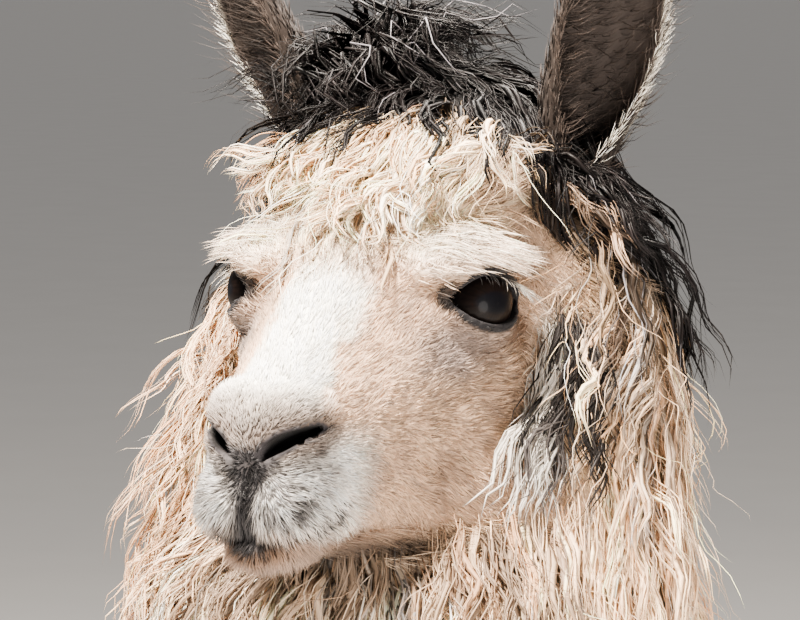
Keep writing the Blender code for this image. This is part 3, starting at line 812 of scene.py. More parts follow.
def new_material(name, **sockets):
    """A material, its nodes, and its shader with the named sockets set."""
    material = bpy.data.materials.new(name)
    material.use_nodes = True
    tree = material.node_tree
    shader = tree.nodes["Principled BSDF"]
    for label, value in sockets.items():
        shader.inputs[label.replace("_", " ")].default_value = value
    return material, tree, shader


def add_node(tree, kind, **settings):
    node = tree.nodes.new(kind)
    for label, value in settings.items():
        socket = label.replace("_", " ")
        if socket in node.inputs:
            node.inputs[socket].default_value = value
        else:
            setattr(node, label, value)
    return node


def join(tree, *pairs):
    """Links (node, its output, node, its input)."""
    for source, output, target, socket in pairs:
        tree.links.new(source.outputs[output], target.inputs[socket])


def add_noise(tree, stretch=None, unwrapped=False, **settings):
    """Noise that is fixed to the piece, or to the unwrap of its hairs."""
    place, output = add_node(tree, "ShaderNodeTexCoord"), "Object"
    if unwrapped:
        place, output = add_node(tree, "ShaderNodeUVMap", uv_map="OFBake"), "UV"
    if stretch:
        mapping = add_node(tree, "ShaderNodeMapping", Scale=stretch)
        join(tree, (place, output, mapping, "Vector"))
        place, output = mapping, "Vector"
    noise = add_node(tree, "ShaderNodeTexNoise", **settings)
    join(tree, (place, output, noise, "Vector"))
    return noise


def break_up(tree, shader, noise, contrast):
    """Colours the shader by the mesh's own Hue, made lighter and darker by the noise."""
    hue = add_node(tree, "ShaderNodeVertexColor", layer_name="Hue")
    spread = add_node(tree, "ShaderNodeMapRange", To_Min=1.0 - contrast, To_Max=1.0 + contrast)
    shade = add_node(tree, "ShaderNodeMix", data_type="RGBA", blend_type="MULTIPLY", Factor=1.0)
    join(
        tree, (noise, "Fac", spread, "Value"), (hue, "Color", shade, "A"), (spread, "Result", shade, "B"),
        (shade, "Result", shader, "Base Color"),
    )


def roughen(tree, shader, noise, strength):
    relief = add_node(tree, "ShaderNodeBump", Strength=strength, Distance=0.001)
    join(tree, (noise, "Fac", relief, "Height"), (relief, "Normal", shader, "Normal"))


def colour_ramp(tree, shader, noise, low, high):
    ramp = add_node(tree, "ShaderNodeValToRGB")
    for element, colour in zip(ramp.color_ramp.elements, (low, high)):
        element.color = (*colour, 1)
    join(tree, (noise, "Fac", ramp, "Fac"), (ramp, "Color", shader, "Base Color"))


STREAKS = (2600.0, 260.0, 1.0)  # noise features to a unit of the hair's unwrap, across and along
GRAIN = 900.0  # and to a metre of the skin


def hair_material(name, roughness, sheen, contrast=0.25, streaks=False, shine=0.35):
    """Takes its colour from the mesh's own Hue, broken up by fine noise, or by streaks along each lock."""
    material, tree, shader = new_material(
        name, Roughness=roughness, Sheen_Weight=sheen, Sheen_Roughness=0.5, Specular_IOR_Level=shine
    )
    stretch, scale = (STREAKS, 1.0) if streaks else (None, GRAIN)
    noise = add_noise(tree, stretch, streaks, Scale=scale, Detail=4.0, Roughness=0.7)
    break_up(tree, shader, noise, contrast)
    roughen(tree, shader, noise, 0.25)
    return material


def eye_material():
    material, tree, shader = new_material(
        "eye_gloss", Roughness=0.35, Coat_Weight=0.05, Coat_Roughness=0.05, Specular_IOR_Level=0.04
    )
    break_up(tree, shader, add_noise(tree, Scale=420.0, Detail=3.0), 0.25)
    return material


def floor_material():
    material, tree, shader = new_material("floor_pale", Roughness=0.75)
    noise = add_noise(tree, Scale=3.0, Detail=5.0)
    colour_ramp(tree, shader, noise, (0.76, 0.75, 0.73), (0.82, 0.81, 0.79))
    return material


def nail_material():
    material, tree, shader = new_material("nail_horn", Roughness=0.42, Specular_IOR_Level=0.5)
    noise = add_noise(tree, (1.0, 0.15, 1.0), Scale=160.0, Detail=5.0)
    colour_ramp(tree, shader, noise, NAIL_DARK, (0.11, 0.09, 0.075))
    roughen(tree, shader, noise, 0.3)
    return material


# ---------------------------------------------------------------- meshes


def paint(mesh, colours):
    """Gives the mesh's points their Hue."""
    layer = mesh.color_attributes.new("Hue", "FLOAT_COLOR", "POINT")
    flat = np.ones((len(colours), 4), np.float32)
    flat[:, :3] = colours
    layer.data.foreach_set("color", flat.ravel())


def smooth(mesh):
    mesh.polygons.foreach_set("use_smooth", np.ones(len(mesh.polygons), bool))


def ring_faces(rings, spokes, first=0):
    """Quads between rings of points, each ring closed on itself."""
    faces = []
    for r in range(rings - 1):
        for k in range(spokes):
            a, b = first + r * spokes + k, first + r * spokes + (k + 1) % spokes
            faces.append((a, b, b + spokes, a + spokes))
    return faces


def closed_mesh(name, points, faces, cut=False):
    """A smooth mesh whose faces look outwards. cut splits faces of many corners into triangles."""
    mesh = bpy.data.meshes.new(name)
    mesh.from_pydata([tuple(p) for p in points], [], faces)
    bm = bmesh.new()
    bm.from_mesh(mesh)
    bmesh.ops.recalc_face_normals(bm, faces=bm.faces[:])
    if cut:
        bmesh.ops.triangulate(bm, faces=[f for f in bm.faces if len(f.verts) > 4])
    bm.to_mesh(mesh)
    bm.free()
    smooth(mesh)
    return mesh


# ---------------------------------------------------------------- ears

EAR_ROOT = (67.0, -82.0, 54.0)
EAR_LENGTH = 158.0
EAR_OUTWARD = {"left": math.radians(23), "right": math.radians(28)}
EAR_FORWARD = math.radians(10)
EAR_TURN = math.radians(38)
EAR_CURVE = 13.0  # millimetres that the tip curves inwards
EAR_WALL = 3.4  # millimetres thick
EAR_ROWS = 44
EAR_SPAN = 36  # points round each section's outside
EAR_WIDTHS = ((-0.22, 0.0, 0.2, 0.42, 0.62, 0.8, 0.92, 1.0), (15, 18, 23.5, 26, 23.5, 17, 9.5, 1.6))
EAR_DEPTHS = ((-0.22, 0.0, 0.3, 0.6, 0.85, 1.0), (12, 13.5, 14, 12, 7.5, 1.5))
EAR_HALVES = ((-0.22, 0.02, 0.15, 0.35, 0.7, 1.0), (172, 165, 138, 112, 100, 88))  # degrees


def ear_frame(name, side):
    """Matrix from the ear's own axes to the world's: Z runs up it, -Y looks out of its opening."""
    return about(1, side * EAR_OUTWARD[name]) @ about(0, EAR_FORWARD) @ about(2, side * EAR_TURN)


def ear_section(t):
    """Half width, half depth and half angle of the ear's wall, t of the way up."""
    return np.interp(t, *EAR_WIDTHS), np.interp(t, *EAR_DEPTHS), np.radians(np.interp(t, *EAR_HALVES))


def ear_points(name, side, t, angle, inset):
    """World points on the ear's wall; angle 0 is its back, and inset is measured inwards."""
    width, depth, _ = ear_section(t)
    up = np.asarray(t) * EAR_LENGTH
    fold = 1.5 * np.sin(9 * np.asarray(t) + 1.0) * np.abs(np.sin(angle))
    x = (width - inset) * np.sin(angle) - side * EAR_CURVE * np.maximum(t, 0) ** 2
    y = (depth - inset) * np.cos(angle) + 2.0 + fold
    local = np.stack(np.broadcast_arrays(x, y, up), -1) / 1000
    return at_head(side * EAR_ROOT[0], *EAR_ROOT[1:]) + local @ ear_frame(name, side).T


def ear_mesh(name, side):
    """A closed cup: rings that run round the outside and back along the inside."""
    rings = []
    for t in np.linspace(-0.20, 1.0, EAR_ROWS):
        half = ear_section(t)[2]
        outer = np.linspace(-half, half, EAR_SPAN)
        wall = EAR_WALL * (1.0 if t < 0.9 else max(0.25, (1.02 - t) / 0.12))
        wall *= np.sqrt(np.maximum(1 - np.abs(outer / half) ** 12, 0.12))
        rings += [ear_points(name, side, t, outer, 0.0), ear_points(name, side, t, outer, wall)[::-1]]
    n = 2 * EAR_SPAN
    caps = [list(range(n))[::-1], [(EAR_ROWS - 1) * n + i for i in range(n)]]
    return closed_mesh("ear_" + name, np.vstack(rings), ring_faces(EAR_ROWS, n) + caps, cut=True)


def ear_colours(name, side, points):
    """Dark in the cup, darker still there as painted shade, and black-brown behind, with a pale rim."""
    root = at_head(side * EAR_ROOT[0], *EAR_ROOT[1:])
    local = (points - root) @ ear_frame(name, side) * 1000
    t = local[:, 2] / EAR_LENGTH
    width, depth, _ = ear_section(t)
    x = (local[:, 0] + side * EAR_CURVE * np.maximum(t, 0) ** 2) / np.maximum(width, 1)
    front = -local[:, 1] / np.maximum(depth, 1)
    return coloured(np.tile(EAR_DARK, (len(points), 1)), (
        (EAR_BACK, step(0.1, -0.5, front)),
        (LOCK_WHITE, 0.8 * step(0.90, 0.99, side * x) * step(-0.5, 0.1, front) * step(0.02, 0.2, t)),
    ))


# ---------------------------------------------------------------- eyes

EYE_RINGS, EYE_SPOKES = 56, 72
EYE_INSET = 0.0002  # metres: how far the ball lies inside its radius
CORNEA_BULGE = 0.0010
IRIS_BROWN = (0.006, 0.0038, 0.0032)
EYE_WHITE = (0.016, 0.012, 0.011)
PUPIL_BLACK = (0.003, 0.003, 0.004)


def eye_mesh(name, side):
    """An eyeball with a bulging cornea and a long dark pupil, its pole on the gaze."""
    along, gaze, above = (axis * np.array([side, 1.0, 1.0]) for axis in eye_axes())
    points, colours = [EYES[name] + gaze * (EYE_RADIUS + CORNEA_BULGE)], [(0.004, 0.004, 0.005)]
    for r in range(1, EYE_RINGS):
        angle = math.pi * (r / EYE_RINGS) ** 1.25
        bulge = CORNEA_BULGE * math.exp(-((angle / 0.62) ** 4))
        for k in range(EYE_SPOKES):
            turn = 2 * math.pi * k / EYE_SPOKES
            side_way = math.cos(turn) * along + math.sin(turn) * above
            direction = math.cos(angle) * gaze + math.sin(angle) * side_way
            points.append(EYES[name] + direction * (EYE_RADIUS - EYE_INSET + bulge))
            colours.append(iris_colour(angle, turn))
    points.append(EYES[name] - gaze * (EYE_RADIUS - EYE_INSET))
    colours.append((0.05, 0.04, 0.04))
    last = 1 + (EYE_RINGS - 2) * EYE_SPOKES
    faces = [(0, 1 + (k + 1) % EYE_SPOKES, 1 + k) for k in range(EYE_SPOKES)]
    faces += ring_faces(EYE_RINGS - 1, EYE_SPOKES, 1)
    faces += [(last + k, last + (k + 1) % EYE_SPOKES, len(points) - 1) for k in range(EYE_SPOKES)]
    mesh = closed_mesh("eyeball_" + name, points, faces)
    paint(mesh, np.array(colours))
    return mesh


def iris_colour(angle, turn):
    """Near-black pupil, long across; brown iris with rays; a brown-grey white of the eye."""
    a, b = math.sin(angle) * math.cos(turn), math.sin(angle) * math.sin(turn)
    pupil = step(1.15, 0.85, math.hypot(a / 0.50, b / 0.24))
    rays = 0.75 + 0.25 * math.sin(34 * turn + 2 * math.sin(5 * turn))
    iris = np.array(IRIS_BROWN) * rays * (1.6 - 1.2 * min(angle / 0.9, 1.0))
    colour = iris + (np.array(EYE_WHITE) - iris) * step(1.12, 1.30, angle)
    colour = colour * (1 - 0.7 * step(0.90, 1.05, angle) * step(1.3, 1.15, angle))
    return tuple(colour + (np.array(PUPIL_BLACK) - colour) * pupil)


# ---------------------------------------------------------------- camera, light and floor

CAMERA_AZIMUTH = math.radians(27)
CAMERA_ELEVATION = math.radians(6)
CAMERA_DISTANCE = 1.6
CAMERA_WIDTH = 0.372  # metres across the view, at the eyes
CAMERA_ASIDE = 0.0149  # the view's middle, right of the eyes' middle
CAMERA_BELOW = 0.0116


def camera_axes():
    a, e = CAMERA_AZIMUTH, CAMERA_ELEVATION
    back = Vector((math.sin(a) * math.cos(e), -math.cos(a) * math.cos(e), math.sin(e)))
    right = Vector((math.cos(a), math.sin(a), 0.0))
    return right, back.cross(right), back


def add_camera():
    right, above, back = camera_axes()
    data = bpy.data.cameras.new("camera")
    data.sensor_width = 36.0
    data.lens = 36.0 * CAMERA_DISTANCE / CAMERA_WIDTH
    data.clip_start, data.clip_end = 0.05, 2000.0
    camera = linked("camera", data)
    aim = Vector(HEAD.tolist()) + right * CAMERA_ASIDE - above * CAMERA_BELOW
    camera.location = aim + back * CAMERA_DISTANCE
    camera.rotation_mode = "QUATERNION"
    camera.rotation_quaternion = (-back).to_track_quat("-Z", "Y")
    bpy.context.scene.camera = camera


def add_light(name, way, distance, size, power, colour=(1, 1, 1)):
    """An area light that shines on the neck from way, given as (right, up, back) from the camera."""
    right, above, back = camera_axes()
    direction = (right * way[0] + above * way[1] + back * way[2]).normalized()
    data = bpy.data.lights.new(name, "AREA")
    data.shape, data.size, data.energy, data.color = "DISK", size, power, colour
    light = linked(name, data)
    target = Vector((HEAD[0], HEAD[1] + 0.15, HEAD[2] - 0.15))
    light.location = target + direction * distance
    light.rotation_mode = "QUATERNION"
    light.rotation_quaternion = direction.to_track_quat("Z", "Y")


def add_lights():
    add_light("key", (-0.42, 1.2, 0.62), 3.2, 0.6, 1200, (1.0, 0.90, 0.79))
    add_light("fill", (0.5, -0.30, 1.0), 3.4, 2.0, 150, (1.0, 0.94, 0.88))
    add_light("low", (-0.1, 1.1, -0.50), 3.0, 1.8, 750, (1.0, 0.90, 0.80))
    world = bpy.data.worlds.new("studio")
    world.use_nodes = True
    background = world.node_tree.nodes["Background"]
    background.inputs["Color"].default_value = (0.88, 0.85, 0.83, 1)
    background.inputs["Strength"].default_value = 0.36
    bpy.context.scene.world = world


def add_floor():
    data = bpy.data.meshes.new("floor")
    reach = 600.0
    corners = [(x * reach, y * reach, -0.0004) for x, y in ((-1, -1), (1, -1), (1, 1), (-1, 1))]
    data.from_pydata(corners, [], [(0, 1, 2, 3)])
    data.materials.append(floor_material())
    linked("floor", data)


# ---------------------------------------------------------------- putting it together

FLESH = ["head", "lower_jaw", "neck", "trunk", "tail", "ear_left", "ear_right"]
FLESH += [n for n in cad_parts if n.startswith(("leg_", "foot_"))]


def dressed(name, mesh, material, slot, *nodes):
    mesh.materials.append(material)
    piece = linked(name, mesh)
    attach(piece, "root")
    if nodes:
        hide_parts(*nodes)
    return piece


# ---------------------------------------------------------------- hair: roots, lines and strands

REACH = 0.11  # metres: how far out the field has to be right for the longest wool
PATCH = 0.003  # each hair's place on its unwrap
ABOVE_FLOOR = 0.0004  # the lowest that a hair hangs
CORE_SPREAD = 0.4  # how near a lock's middle its broad hairs stay
WIDEST = 0.243  # how far out to the side a lock may reach
SHALLOWEST = 0.004  # the least depth of long wool


class Surface:
    """Somewhere that hair can root."""

    def __init__(self, mesh):
        mesh.calc_loop_triangles()
        corners = np.empty(len(mesh.loop_triangles) * 3, np.int32)
        mesh.loop_triangles.foreach_get("vertices", corners)
        self.corners = corners.reshape(-1, 3)
        self.points = vectors(mesh)
        self.normals = vectors(mesh, "normal")
        a, b, c = (self.points[self.corners[:, i]] for i in range(3))
        self.area = np.linalg.norm(np.cross(b - a, c - a), axis=1) / 2
        self.centres = (a + b + c) / 3

    def scatter(self, count, density):
        """Random roots, as many to an area as density says."""
        weight = self.area * np.maximum(density(self.centres), 0)
        chosen = RNG.choice(len(weight), count, p=weight / weight.sum())
        a, b = RNG.random((2, count))
        over = a + b > 1
        a[over], b[over] = 1 - a[over], 1 - b[over]
        share = np.stack([1 - a - b, a, b], 1)[:, :, None]
        corner = self.corners[chosen]
        return (self.points[corner] * share).sum(1), unit((self.normals[corner] * share).sum(1))


def outline_tree():
    """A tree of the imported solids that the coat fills."""
    points, faces = [], []
    for name in FLESH:
        if name.startswith("ear"):
            continue
        mesh = bpy.data.objects[name].data
        faces += [[v + len(points) for v in face.vertices] for face in mesh.polygons]
        points += [v.co.copy() for v in mesh.vertices]
    return BVHTree.FromPolygons(points, faces)


def coat_depth(roots, normals, most):
    """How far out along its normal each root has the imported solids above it."""
    depth = np.empty(len(roots))
    for i, (root, normal) in enumerate(zip(roots, normals)):
        start, way = Vector(root), Vector(normal)
        reached = 0.0
        for _ in range(6):
            hit = TREE.ray_cast(start + way * (reached + 0.0005), way, most - reached)
            if hit[0] is None:
                break
            leaves = hit[1].dot(way) > 0
            gone = (hit[0] - start).length
            if not leaves and gone - reached > 0.003:
                break
            reached = gone
        depth[i] = reached
    return np.clip(depth, SHALLOWEST, most)


def grow(roots, normals, way, length, height, count, rise, wander):
    """Middle lines of locks. way(points, outward, t) is where they head, height how far over the skin
    each has risen by its tip, and rise how early it does so (less is earlier)."""
    own_way = RNG.normal(0, wander, roots.shape)
    lines, ups = [roots], [normals]
    p = roots.copy()
    stride = length / count
    for k in range(count):
        now, g = height_and_slope(p, REACH)
        out = unit(g)
        way_on = way(p, out, (k + 0.5) / count) + own_way
        flat = unit(way_on - out * (way_on * out).sum(1, keepdims=True))
        lift = (unit(way_on) * out).sum(1)
        wanted = height * ((k + 1.0) / count) ** rise
        climb = np.clip((wanted - np.clip(now, -0.02, 0.2)) / stride, -0.75, 0.85)
        climb = np.maximum(climb, np.where(lift > 0.3, 0.97 * lift, -1.0))[:, None]
        p = p + (flat * np.sqrt(1 - climb**2) + out * climb) * stride[:, None]
        lines.append(p)
        ups.append(out)
    return np.stack(lines, 1), np.stack(ups, 1)


def read_along(values, place):
    """Values (n, k, 3) of lines read at places (n, m) from 0 to 1 along them."""
    at = place * (values.shape[1] - 1)
    low = np.clip(at.astype(int), 0, values.shape[1] - 2)
    share = (at - low)[:, :, None]
    index = np.arange(len(values))[:, None]
    return values[index, low] * (1 - share) + values[index, low + 1] * share


def across(lines, up):
    """Unit directions along lines, to their side, and over them."""
    ahead = unit(np.gradient(lines, axis=1))
    side = unit(np.cross(ahead, up))
    return side, np.cross(side, ahead)


def tuft(lines, ups, each, broad, spread, gather, wave, pitch, stray, shorter=0.3):
    """Hairs round each lock's middle line: gather closes them towards its tip, wave and pitch are the
    crimp that they share, and stray is how much each goes its own way. The broad ones are the lock's
    core. Metres."""
    n, rows = lines.shape[:2]
    lock = np.repeat(np.arange(n), each)
    m = len(lock)
    t = np.linspace(0, 1, rows)[None, :]
    place = t * (1 - shorter * RNG.random((m, 1)))
    middle_line = read_along(lines[lock], place)
    side, up = across(middle_line, unit(read_along(ups[lock], place)))
    size = np.linalg.norm(np.diff(lines, axis=1), axis=2).sum(1)[lock][:, None] * place
    angle, off = RNG.uniform(0, 2 * math.pi, (2, m, 1))
    core = np.where(np.tile(np.arange(each), n) < broad, CORE_SPREAD, 1.0)[:, None]
    off = spread * core * np.sqrt(off / (2 * math.pi))
    close = 1 - gather * place**0.8
    phase = RNG.uniform(0, 2 * math.pi, (n, 1))[lock] + RNG.normal(0, 0.5, (m, 1))
    beat = 2 * math.pi / (pitch * RNG.uniform(0.8, 1.25, (n, 1))[lock])
    swing = wave * RNG.uniform(0.6, 1.4, (n, 1))[lock] * step(0.0, 0.45, place)
    loose = stray * size * RNG.normal(0, 1, (2, m, 1)) * place
    a = off * np.cos(angle) * close + swing * np.sin(size * beat + phase) + loose[0]
    b = off * np.sin(angle) * close * 0.7 + 0.7 * swing * np.cos(size * beat * 0.9 + phase) + loose[1] * 0.6
    b = b - 0.25 * spread * (core < 1) * close
    return middle_line + side * a[:, :, None] + up * b[:, :, None], up, lock


def strand_faces(rows):
    """Triangles of one closed three-sided strand: rows of three points, then its tip."""
    faces = [(0, 2, 1)]
    for a, b, above_b, above_a in ring_faces(rows, 3):
        faces += [(a, b, above_b), (a, above_b, above_a)]
    tip, last = 3 * rows, 3 * (rows - 1)
    return np.array(faces + [(last + i, last + (i + 1) % 3, tip) for i in range(3)])


def unwrap(points):
    """Where points lie on an unwrap of the animal's shape: round the spine or neck, and along it."""
    x, y, z = points.T
    low, body = z < 0.62, y > BODY[1] - 0.22
    flat = np.arctan2(x - HEAD[0], np.where(body, z - 0.86, -(y - HEAD[1] - 0.06)))
    limb = np.arctan2(x - np.sign(x) * STANCE_HALF, y)
    u = np.where(low & body, limb, flat) / (2 * math.pi) + 0.5
    return np.stack([u, np.where(body, y * 0.7 + z * 0.3, z)], 1)


MOST_FACES = 190000  # in one piece of the coat
FINE_FLAT, BROAD_FLAT = 0.6, 0.28  # how thick a hair is for its width


def hair_piece(name, lines, up, half, colours, roots, material, slot, flat=None):
    """Solid strands along the lines, as one or more pieces under the most faces."""
    n, rows = lines.shape[:2]
    flat = np.full(n, FINE_FLAT) if flat is None else flat
    faces = strand_faces(rows - 1)
    spread = unwrap(roots)
    spread = (spread - spread.min(0)) / np.maximum(np.ptp(spread, axis=0), 1e-6) * (1 - 2 * PATCH) + PATCH
    share = math.ceil(n * len(faces) / MOST_FACES)
    order = np.argsort(roots[:, 2], kind="stable")
    for index, chosen in enumerate(np.array_split(order, share)):
        label = name if share == 1 else f"{name}_{index + 1}"
        own = (part[chosen] for part in (lines, up, half, colours, spread, flat))
        dressed(label, strands_mesh(label, faces, *own), material, slot)


def strands_mesh(name, faces, lines, up, half, colours, spread, flat):
    n, rows = lines.shape[:2]
    side, over = across(lines, up)
    flat = flat[:, None, None]
    twist = RNG.normal(0, 0.8, (n, 1, 1)) * flat
    side, over = side * np.cos(twist) + over * np.sin(twist), over * np.cos(twist) - side * np.sin(twist)
    wide = half[:, :, None]
    ring = [lines - side * wide, lines + side * wide, lines + over * wide * flat * 1.6]
    body = np.stack(ring, 2)[:, :-1].reshape(n, -1, 3)
    points = np.concatenate([body, lines[:, -1:]], 1)
    points[:, :, 2] = np.maximum(points[:, :, 2], ABOVE_FLOOR)
    each = points.shape[1]
    corners = (faces[None] + each * np.arange(n)[:, None, None]).reshape(-1)
    mesh = bpy.data.meshes.new(name)
    mesh.vertices.add(n * each)
    mesh.vertices.foreach_set("co", points.reshape(-1).astype(np.float32))
    mesh.loops.add(len(corners))
    mesh.loops.foreach_set("vertex_index", corners.astype(np.int32))
    mesh.polygons.add(len(corners) // 3)
    mesh.polygons.foreach_set("loop_start", np.arange(0, len(corners), 3, dtype=np.int32))
    mesh.update(calc_edges=True)
    smooth(mesh)
    body = np.repeat(colours[:, :-1], 3, axis=1)
    paint(mesh, np.concatenate([body, colours[:, -1:]], 1).reshape(-1, 3))
    place = np.zeros((each, 2))
    place[:-1, 0] = np.tile([-0.5, 0.0, 0.5], rows - 1)
    place[:-1, 1] = np.repeat(np.linspace(-0.5, 0.3, rows - 1), 3)
    place[-1] = (0.0, 0.5)
    layer = mesh.uv_layers.new(name="OFBake")
    uv = (spread[:, None] + place[None] * PATCH).reshape(-1, 2)[corners]
    layer.uv.foreach_set("vector", uv.reshape(-1).astype(np.float32))
    return mesh


def shades(base, rows, root_dark=0.55, tip_light=1.12, vary=0.14):
    """Each hair's colours along it: darker at its root as painted shade deep in the coat, lighter at its tip,
    no two alike.
    """
    t = np.linspace(0, 1, rows)[None, :, None]
    ramp = root_dark + (1 - root_dark) * step(0, 0.4, t) + (tip_light - 1) * step(0.5, 1, t)
    own = np.exp(RNG.normal(0, vary, (len(base), 1, 1)))
    return np.clip(base[:, None] * ramp * own, 0.003, 0.95)


def taper(half, rows, root=0.75, tip=0.12):
    """Half widths along each hair."""
    t = np.linspace(0, 1, rows)[None, :]
    shape = root + (1 - root) * step(0, 0.3, t)
    return half[:, None] * shape * (1 - (1 - tip) * t**2.2)


# ---------------------------------------------------------------- which way the hair lies

NOSE_POINT = (0.0, 116.0, -70.0)


def apart(points):
    """The way out to the nearer side, smooth over the middle."""
    return np.tanh((points[:, 0] - HEAD[0]) / 0.012)[:, None] * ASIDE


def level(x, y):
    """Level directions."""
    return np.stack([x, y, np.zeros(len(x))], 1)


def short_lie(points, outward):
    """On the face: away from the nose."""
    _, f, u = in_head(points)
    away = unit(points - at_head(*NOSE_POINT))
    return away + step(-30, -95, u)[:, None] * step(110, 60, f)[:, None] * DOWN * 0.5


def fleece_way(points, outward, t):
    """Down and away from the middle of the face, back and chest."""
    _, f, u = in_head(points)
    cheek = (step(-95, -60, f) * step(-150, -110, u))[:, None]
    back = (0.15 + 0.40 * step(-115, -55, u)[:, None]) * (1 - 2.6 * cheek) * BACK
    return DOWN * 1.5 + 0.8 * apart(points) * np.maximum(outward[:, 2:], 0) + back


def swayed(way, size, amount, seed):
    """The same way with a slow sideways sway over the coat."""

    def bent(points, outward, t):
        sway = amount * ripple(points, size, seed)[:, None] * np.cross(outward, DOWN)
        return way(points, outward, t) + sway

    return bent


def forelock_way(points, outward, t):
    """Forward and down the forehead, spreading to both sides."""
    s = in_head(points)[0]
    ahead = np.array([0.0, -1.0, -0.8])
    far, near = step(-30, -62, s)[:, None], step(10, 40, s)[:, None]
    spread = level(s / 70.0, 0 * s) * (0.7 + 0.9 * far - 0.5 * near) * (1 - 0.6 * t)
    return ahead * (1.0 - 0.4 * t) * (1 - 0.5 * far) + spread + DOWN * 1.5 * t


def poll_way(points, outward, t):
    """From the crown outwards, back over the nape and down past the ears."""
    s, f, _ = in_head(points)
    away = level(np.clip(s / 40.0, -0.4, 1), np.clip((-f - 76) / 26.0, -1.0, 0.8))
    return away * step(0.1, 0.7, outward[:, 2])[:, None] + DOWN * (0.4 + 1.2 * t)


def topknot_way(points, outward, t):
    """Up, then over in all directions and down."""
    s, f, _ = in_head(points)
    return level((s + 44) / 24, -(f + 78) / 24) * (0.3 + 0.7 * t) + DOWN * (2.8 * t - 1.4)


def lock_way(ahead):
    """Down the side of the face and forward to the jaw."""
    return lambda points, outward, t: DOWN - ahead * BACK * step(0.0, 0.3, t)


def temple_way(points, outward, t):
    """From before the ear, down behind the eye and back."""
    return DOWN + (0.45 - 0.2 * t) * apart(points) + 0.30 * BACK


def brow_way(points, outward, t):
    """Outwards over the eye, then down and back."""
    return apart(points) + (0.10 + 0.4 * t) * BACK + (0.12 + 0.35 * t) * DOWN


def trunk_way(points, outward, t):
    """Off the spine to each side, down and a little back."""
    aside = apart(points) + 0.35 * BACK
    return DOWN * 1.1 + aside * step(0.2, 0.9, outward[:, 2])[:, None] + 0.25 * BACK


def hanging(back):
    """Down, and this much back."""
    return lambda points, outward, t=0: DOWN + back * BACK


def tail_way(points, outward, t):
    return DOWN + 0.30 * BACK + outward * 0.2


def jaw_way(points, normals):
    """Back along the jaw, out and a little down."""
    return 0.8 * BACK + 0.25 * DOWN + 0.5 * apart(points)


def cheek_way(points, normals):
    """Back and down into the wool."""
    low = step(-80, -110, in_head(points)[2])[:, None]
    return short_lie(points, normals) * (0.5 - 0.4 * low) + DOWN * 0.9 + 0.25 * BACK


# ---------------------------------------------------------------- the coat, area by area


def lie_short(
    name, surface, count, density, length, half, lift, material, *, slot="face_hair", way=short_lie, dark=0.75
):
    """Short straight hairs, flat on the skin. dark is how bright their roots are."""
    roots, normals = surface.scatter(count, density)
    size = valued(length, roots) * RNG.uniform(0.75, 1.25, count)
    lie = unit(way(roots, normals))
    wisp = np.stack([ripple(roots, 0.011, seed) for seed in (51, 52, 53)], 1)
    lie = lie + 0.22 * wisp + RNG.normal(0, 0.14, (count, 3))
    flat = unit(lie - normals * (lie * normals).sum(1, keepdims=True))
    rise = (valued(lift, roots) * RNG.uniform(0.6, 1.5, count))[:, None]
    tips = roots + unit(flat + normals * rise) * size[:, None]
    base = markings(roots)
    odd = RNG.random(count) < 0.05
    base[odd] *= RNG.uniform(0.25, 0.6, (odd.sum(), 1))
    lines = np.stack([roots - normals * 0.0003, tips], 1)
    own = np.stack([half * RNG.uniform(0.7, 1.3, count), np.zeros(count)], 1)
    tones = shades(base, 2, 1.0, 1.12, 0.13)
    tones[:, 0] *= valued(dark, roots)[:, None]
    hair_piece(name, lines, np.repeat(normals[:, None], 2, axis=1), own, tones, roots, material, slot)


TAN_SHADE = np.array([0.66, 0.55, 0.46])
ASH_SHADE = np.array([0.25, 0.22, 0.20])
WARM_SHIFT = np.array([0.02, -0.05, -0.14])  # how a warmer hair's colours differ, as logarithms


def over_eye(lines):
    """Which hairs pass in front of an eye, between its lids."""
    p = lines.reshape(-1, 3)
    edge, out = lid_edge(p)
    hides = (edge < 1.0) & (out > 0) & (np.linalg.norm(to_left(p) - lid_centre(), axis=1) < 0.05)
    return hides.reshape(lines.shape[:2]).any(1)


